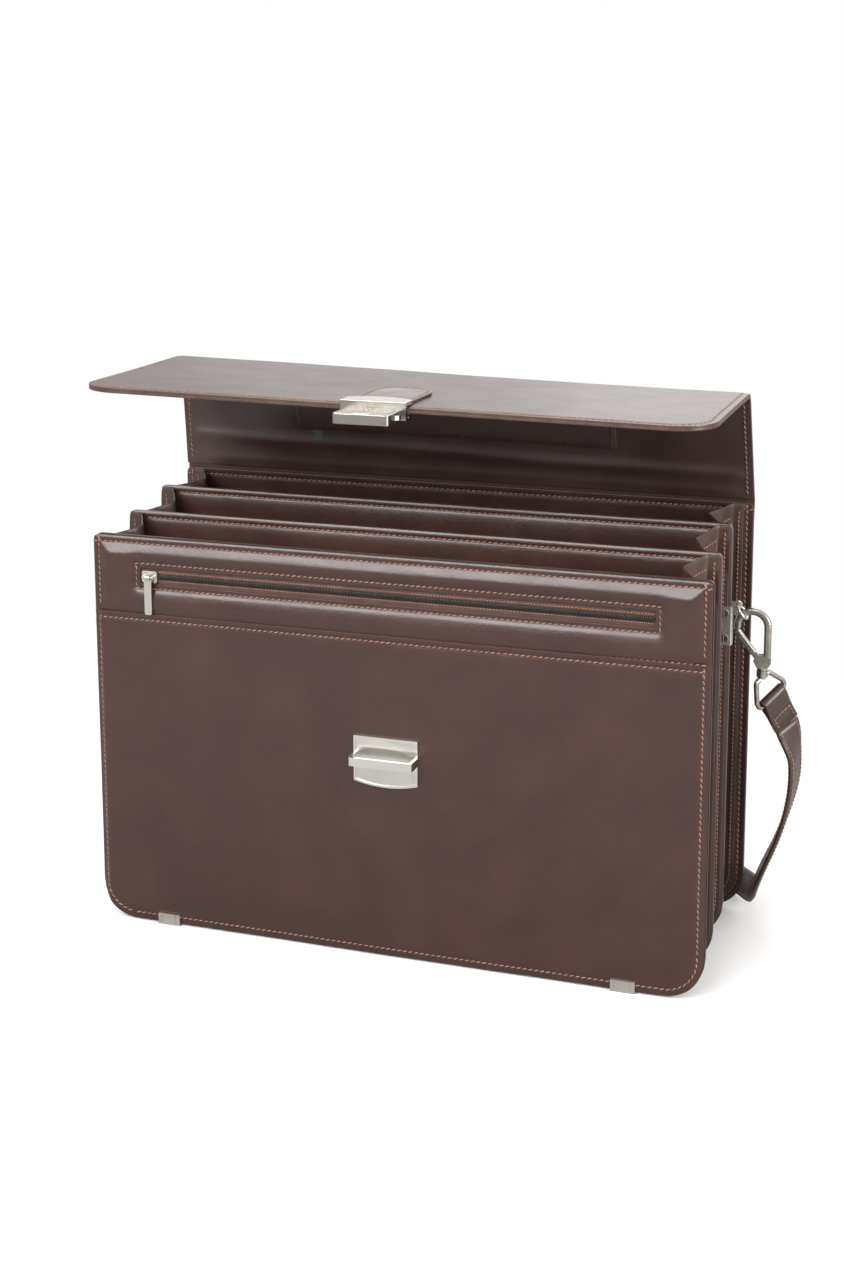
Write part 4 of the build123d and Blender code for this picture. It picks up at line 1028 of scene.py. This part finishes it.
def grip():
    """The handle's grip: leather rolled round a core, thicker in its middle, with a stitched seam inside."""
    pivot = np.array((HINGE_Y + PIVOT_OUT * cos(FLAP_LEAN) - PIVOT_UP * sin(FLAP_LEAN),
                      HINGE_Z + PIVOT_OUT * sin(FLAP_LEAN) + PIVOT_UP * cos(FLAP_LEAN)))
    down = np.array((sin(HANDLE_TILT), -cos(HANDLE_TILT)))
    out = np.array((cos(HANDLE_TILT), sin(HANDLE_TILT)))
    line = rounded_line(((-86.0, 11.0), (-70.0, 46.0), (70.0, 46.0), (86.0, 11.0)), 20.0)
    travel = distances(line)
    total = travel[-1]
    sides = 32

    def point(s, angle):
        along = unit(point_along(line, travel, s + 0.5) - point_along(line, travel, s - 0.5))
        ends = min(s, total - s)
        thick = 6.4 + 1.5 * smooth(10, 60, ends) - 0.9 * (1 - smooth(0, 2.5, ends))
        thick += 0.9 * bump(angle, pi / 2, 0.22) + 0.12 * wobble(s, angle * 6, 9, 41)
        side = np.array((-along[1], along[0]))
        flat = point_along(line, travel, s) - side * thick * sin(angle)
        y, z = pivot + down * flat[1] + out * thick * cos(angle) * 0.94
        return flat[0], y, z

    ss = [0, 0.6, 1.4, 2.4, 3.6] + spread(5, total - 5, 3.5) + [total - d for d in (3.6, 2.4, 1.4, 0.6, 0)]
    points = [point(s, 2 * pi * k / sides) for s in ss for k in range(sides)]
    body = mesh_object("grip", points, tube_faces(len(ss), sides), [STRAP_LEATHER])
    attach(body, "handle")
    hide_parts("handle_grip")
    lines = []
    for shift, face in ((0.42, 1), (pi - 0.42, -1)):
        path = [point(s, shift) for s in spread(8, total - 8, 3)]
        lines.append((path, (0, out[0] * face, out[1] * face)))
    thread = stitching("grip_thread", lines)
    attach(thread, "handle")


# ---- shoulder strap ----
STRAP_WIDTH = 20.0
STRAP_THICK = 3.2
STRAP_SEAM = 2.6
RIGHT_ROUTE = (
    (241.1, 114.3, 150.2), (246.3, 119.5, 134.0), (247.3, 120.0, 112.0), (243.5, 118.5, 90.0),
    (237.0, 117.5, 68.5), (229.0, 120.5, 49.0), (222.5, 131.0, 31.5), (218.5, 146.0, 18.5),
    (213.0, 162.0, 12.5), (203.0, 177.0, 11.0), (189.5, 190.0, 10.8), (172.0, 198.5, 9.8),
    (153.0, 197.0, 7.2), (138.5, 185.5, 4.6), (123.5, 173.0, 3.2), (105.0, 168.5, 3.2),
    (89.0, 178.0, 3.2), (82.0, 195.5, 3.2), (76.0, 213.0, 3.2), (62.5, 225.5, 3.2),
    (45.0, 228.5, 3.2), (29.0, 224.0, 3.2),
)
LEFT_ROUTE = (
    (-241.1, 114.3, 150.2), (-245.3, 119.0, 134.0), (-245.0, 120.5, 112.0), (-240.5, 120.0, 90.0),
    (-234.0, 120.5, 68.5), (-226.0, 124.5, 49.5), (-221.0, 136.5, 32.5), (-217.5, 152.0, 19.5),
    (-210.5, 168.0, 13.0), (-199.0, 182.5, 11.0), (-183.5, 193.0, 10.5), (-165.0, 197.0, 9.0),
    (-147.0, 191.5, 6.5), (-133.0, 179.0, 4.2), (-116.5, 170.0, 3.2), (-98.0, 172.5, 3.2),
    (-85.5, 186.5, 3.2), (-79.5, 204.0, 3.2), (-68.0, 218.5, 3.2), (-49.0, 226.0, 3.2),
    (-29.0, 224.0, 3.2),
)
# Direction of the right half's width at distances along it; with None it stands or lies on the floor.
WIDTH_KEYS = (
    (0, (0.545, 0.65, 0.53)), (28, (0.2, 0.95, 0.24)), (80, (0.02, 0.98, 0.18)), (125, (-0.02, 0.97, 0.25)),
    (160, (0.15, 0.62, 0.78)), (190, None), (1000, None),
)


def route_points(route, name):
    """The strap's centre line, read from a smooth curve through its route."""
    curve = bpy.data.curves.new(name + "_route", "CURVE")
    curve.dimensions = "3D"
    curve.resolution_u = 8
    spline = curve.splines.new("NURBS")
    spline.points.add(len(route) - 1)
    for point, place in zip(spline.points, route):
        point.co = (*at(*place), 1)
    spline.order_u = 3
    spline.use_endpoint_u = True
    holder = link(bpy.data.objects.new(name + "_route", curve))
    mesh = bpy.data.meshes.new_from_object(holder)
    points = [v.co.copy() for v in mesh.vertices]
    bpy.data.objects.remove(holder)
    if (points[0] - at(*route[0])).length > (points[-1] - at(*route[0])).length:
        points.reverse()
    return points


def strap_section():
    """The strap's rounded cross-section, in shares of its width and thickness."""
    section = []
    for k in range(16):
        c, s = cos(2 * pi * k / 16), sin(2 * pi * k / 16)
        section.append((abs(c) ** 0.35 * (1 if c > 0 else -1) / 2, abs(s) ** 0.5 * (1 if s > 0 else -1) / 2))
    return section


def width_direction(here, along, s, side):
    """The direction of the strap's width at a point of its line, from the width keys."""
    stand = min(max((here[2] - STRAP_THICK / 2 - 0.1) / (STRAP_WIDTH / 2), 0), 0.995)
    flat = unit(np.cross(along, (0, 0, 1))) * sqrt(1 - stand * stand) * side + np.array((0, 0, stand))
    marks = [mark for mark, _ in WIDTH_KEYS]
    k = min(int(np.searchsorted(marks, s, side="right")) - 1, len(marks) - 2)
    ways = []
    for _, key in WIDTH_KEYS[k:k + 2]:
        ways.append(unit(flat if key is None else np.array((key[0] * side, key[1], key[2]))))
    share = smooth(marks[k], marks[k + 1], s)
    wide = ways[0] * (1 - share) + ways[1] * share
    return unit(wide - along * (wide @ along))


def strap(name, route, side):
    """Half of the strap: a stitched ribbon along its route, turned by its width keys."""
    path = route_points(route, name)
    line = np.array([(p.x / MM, p.y / MM - FRONT_Y, p.z / MM) for p in path])
    keep = [0] + [i for i in range(1, len(line)) if np.linalg.norm(line[i] - line[i - 1]) > 1e-4]
    line = line[keep]
    travel = distances(line)
    section = strap_section()
    points, edges, normals = [], [[], []], []
    for here, tangent, s in zip(line, np.gradient(line, axis=0), travel):
        along = unit(tangent)
        wide = width_direction(here, along, s, side)
        normal = np.cross(along, wide) * side
        points += [here + wide * a * STRAP_WIDTH + normal * b * STRAP_THICK for a, b in section]
        normals.append(normal)
        for edge, sign in zip(edges, (1, -1)):
            edge.append(here + wide * sign * (STRAP_WIDTH / 2 - STRAP_SEAM) + normal * STRAP_THICK / 2)
    faces = tube_faces(len(line), len(section))
    body = mesh_object(name + "_ribbon", points, faces, [STRAP_LEATHER])
    normals = np.array(normals)
    under = [np.array(edge) - normals * STRAP_THICK for edge in edges]
    lines = [(edge, normals) for edge in edges] + [(edge, -normals) for edge in under]
    thread = stitching(name + "_thread", lines, pitch=3.0, lift=0.0)
    for piece in (body, thread):
        start, end = at(*route[0]), at(route[4][0], route[0][1], 20)
        tuple(start)
        tuple(end)
        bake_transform(piece)
    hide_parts(name)
    tuple(at(*route[0]))


def strap_fold(name, place, bar, thick, length, body):
    """The strap's end, folded round a bar and stitched back on itself; place is the bar's frame, with -Z
    along the strap."""
    outer, tail = bar + thick, thick
    outline = [(outer * cos(a), outer * sin(a)) for a in (radians(d) for d in range(-20, 201, 11))]
    left = [(-outer * 0.92, -4.0), (-tail * 1.2, -9.5), (-tail, -13.0), (-tail, -length)]
    outline += left + [(-px, pz) for px, pz in reversed(left)]
    hole = [(bar * cos(a), bar * sin(a)) for a in (radians(d) for d in range(-40, 221, 13))] + [(0, -6.5)]
    slices = ((-0.5, 0.86), (-0.47, 0.96), (-0.44, 1.0), (0.44, 1.0), (0.47, 0.96), (0.5, 0.86))
    work = bmesh.new()
    ends = ([], [])
    for loop, is_hole in ((outline, False), (hole, True)):
        rings = []
        for x, pinch in slices:
            spots = [Vector((x * STRAP_WIDTH, py * (1.0 if is_hole else pinch), pz)) for py, pz in loop]
            rings.append([work.verts.new(at(*(place @ spot))) for spot in spots])
        for first, second in zip(rings, rings[1:]):
            for k in range(len(loop)):
                n = (k + 1) % len(loop)
                work.faces.new((first[k], first[n], second[n], second[k]))
        for rim, ring in zip(ends, (rings[0], rings[-1])):
            rim.extend(work.edges.get((ring[k - 1], ring[k])) for k in range(len(ring)))
    for rim in ends:
        bmesh.ops.triangle_fill(work, edges=rim, use_beauty=True)
    bmesh.ops.recalc_face_normals(work, faces=work.faces)
    mesh = bpy.data.meshes.new(name)
    work.to_mesh(mesh)
    work.free()
    mesh.materials.append(STRAP_LEATHER)
    mesh.polygons.foreach_set("use_smooth", [True] * len(mesh.polygons))
    made = link(bpy.data.objects.new(name, mesh))
    lines = []
    reach = STRAP_WIDTH / 2 - STRAP_SEAM
    for face in (1, -1):
        zs = spread(-12, -length + 0.5, 3)
        seams = [[(px, face * tail, z) for z in zs] for px in (-reach, reach)]
        seams.append([(px, face * tail, -13.5) for px in spread(-reach, reach, 3)])
        outward = tuple(place.to_3x3() @ Vector((0, face, 0)))
        for row in seams:
            lines.append(([tuple(place @ Vector(p)) for p in row], outward))
    thread = stitching(name + "_thread", lines, pitch=3.0, lift=0.05)
    for piece in (made, thread):
        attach(piece, body)
    return made


DEE_NECK = (226.6, 97.0, 186.4)
DEE_DOWN = 18.0


def straps():
    """Both halves of the strap and their folded ends."""
    for side, name, route in ((1, "right", RIGHT_ROUTE), (-1, "left", LEFT_ROUTE)):
        strap(f"strap_{name}", route, side)
        turn = Matrix.Rotation(radians(50) * side, 4, "Z") @ Matrix.Rotation(radians(-32) * side, 4, "Y")
        neck = Matrix.Translation((DEE_NECK[0] * side, DEE_NECK[1], DEE_NECK[2]))
        place = neck @ turn @ Matrix.Translation((0, 0, -DEE_DOWN))
        end = strap_fold(f"strap_fold_{name}", place, 2.0, 1.75, 24.0, f"strap_link_{name}")
        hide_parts(f"strap_end_{name}")


# ---- light, floor and camera ----
def studio():
    """A pale floor, a world that is white behind, bright above and dim low in front, and soft lamps."""
    floor = bpy.data.meshes.new("floor")
    floor.from_pydata([(x, y, 0) for x, y in ((-6, -6), (6, -6), (6, 6), (-6, 6))], [], [(0, 1, 2, 3)])
    made, tree, shader, where = material("floor")
    tree.links.new(mottled(tree, where, 3, (0.86, 0.86, 0.86), (0.9, 0.9, 0.9)), shader.inputs["Base Color"])
    shader.inputs["Roughness"].default_value = 0.7
    dim = add(tree, "ShaderNodeBsdfDiffuse", Color=(0.42, 0.42, 0.42, 1))
    distance = add(tree, "ShaderNodeVectorMath", {"operation": "LENGTH"})
    tree.links.new(where, distance.inputs[0])
    far = ranged(tree, distance.outputs["Value"], 0.3, 0.75, 0.0, 1.0)
    ray = add(tree, "ShaderNodeLightPath").outputs["Is Camera Ray"]
    glow = add(tree, "ShaderNodeEmission", Color=(1, 1, 1, 1), Strength=1.0)
    seen = add(tree, "ShaderNodeMixShader", Fac=far)
    mix = add(tree, "ShaderNodeMixShader", Fac=ray)
    for target, first, second in ((seen, shader, glow), (mix, dim, seen)):
        tree.links.new(first.outputs[0], target.inputs[1])
        tree.links.new(second.outputs[0], target.inputs[2])
    tree.links.new(mix.outputs[0], tree.nodes["Material Output"].inputs["Surface"])
    floor.materials.append(made)
    link(bpy.data.objects.new("floor", floor))

    world = bpy.data.worlds.new("studio")
    world.use_nodes = True
    bpy.context.scene.world = world
    tree = world.node_tree
    sky = tree.nodes["Background"]
    where = add(tree, "ShaderNodeTexCoord").outputs["Generated"]
    parts = add(tree, "ShaderNodeSeparateXYZ", Vector=where)
    above = ranged(tree, parts.outputs["Z"], 0.0, 0.5, 0.8, 0.95)
    behind = ranged(tree, parts.outputs["Y"], 0.0, 0.6, 0.0, 1.3)
    behind = product(tree, behind, ranged(tree, parts.outputs["X"], -0.54, -0.36, 0.35, 1.0))
    brighter = add(tree, "ShaderNodeMath", {"operation": "MAXIMUM"})
    tree.links.new(above, brighter.inputs[0])
    tree.links.new(behind, brighter.inputs[1])
    tree.links.new(brighter.outputs[0], sky.inputs["Strength"])
    sky.inputs["Color"].default_value = (1.0, 0.99, 0.975, 1)
    seen = add(tree, "ShaderNodeBackground", Color=(1, 1, 1, 1), Strength=1.0)
    ray = add(tree, "ShaderNodeLightPath").outputs["Is Camera Ray"]
    mix = add(tree, "ShaderNodeMixShader", Fac=ray)
    tree.links.new(sky.outputs[0], mix.inputs[1])
    tree.links.new(seen.outputs[0], mix.inputs[2])
    tree.links.new(mix.outputs[0], tree.nodes["World Output"].inputs["Surface"])

    for name, place, aim, wide, high, power in (
        ("softbox", (-0.42, -1.25, 1.12), (0, 0, 0.22), 1.5, 0.85, 29.0),
        ("fill_right", (1.6, -0.5, 0.6), (0.1, 0, 0.2), 0.9, 0.9, 22.0),
        ("behind", (0.2, 1.5, 1.2), (0, 0, 0.25), 1.2, 1.2, 4.0),
    ):
        lamp = bpy.data.lights.new(name, "AREA")
        lamp.shape = "RECTANGLE"
        lamp.size, lamp.size_y = wide, high
        lamp.energy = power
        holder = link(bpy.data.objects.new(name, lamp))
        holder.location = place
        holder.rotation_euler = (Vector(aim) - Vector(place)).to_track_quat("-Z", "Y").to_euler()


def camera():
    """The view: from the right of the front and a little above."""
    yaw, pitch, roll = radians(-18.91), radians(10.13), radians(-0.11)
    lens = bpy.data.cameras.new("camera")
    lens.sensor_width = 36
    lens.lens = 54.4
    lens.shift_y = -0.150
    forward = Vector((sin(yaw) * cos(pitch), cos(yaw) * cos(pitch), -sin(pitch)))
    right = Vector((cos(yaw), -sin(yaw), 0))
    up = right.cross(forward)
    axes = Matrix((right, up, -forward)).transposed().to_4x4()
    holder = link(bpy.data.objects.new("camera", lens))
    holder.matrix_world = Matrix.Translation(at(407, -1115, 557.5)) @ axes @ Matrix.Rotation(roll, 4, "Z")
    bpy.context.scene.camera = holder


camera()
straps()
front_panel()
zip_teeth()
divider("front_divider_cover", "front_divider", 3)
divider("rear_divider_cover", "rear_divider", 4)
gussets()
rear_panel()
flap()
patch()
tongue()
grip()
studio()
bpy.context.scene.view_settings.view_transform = "Standard"
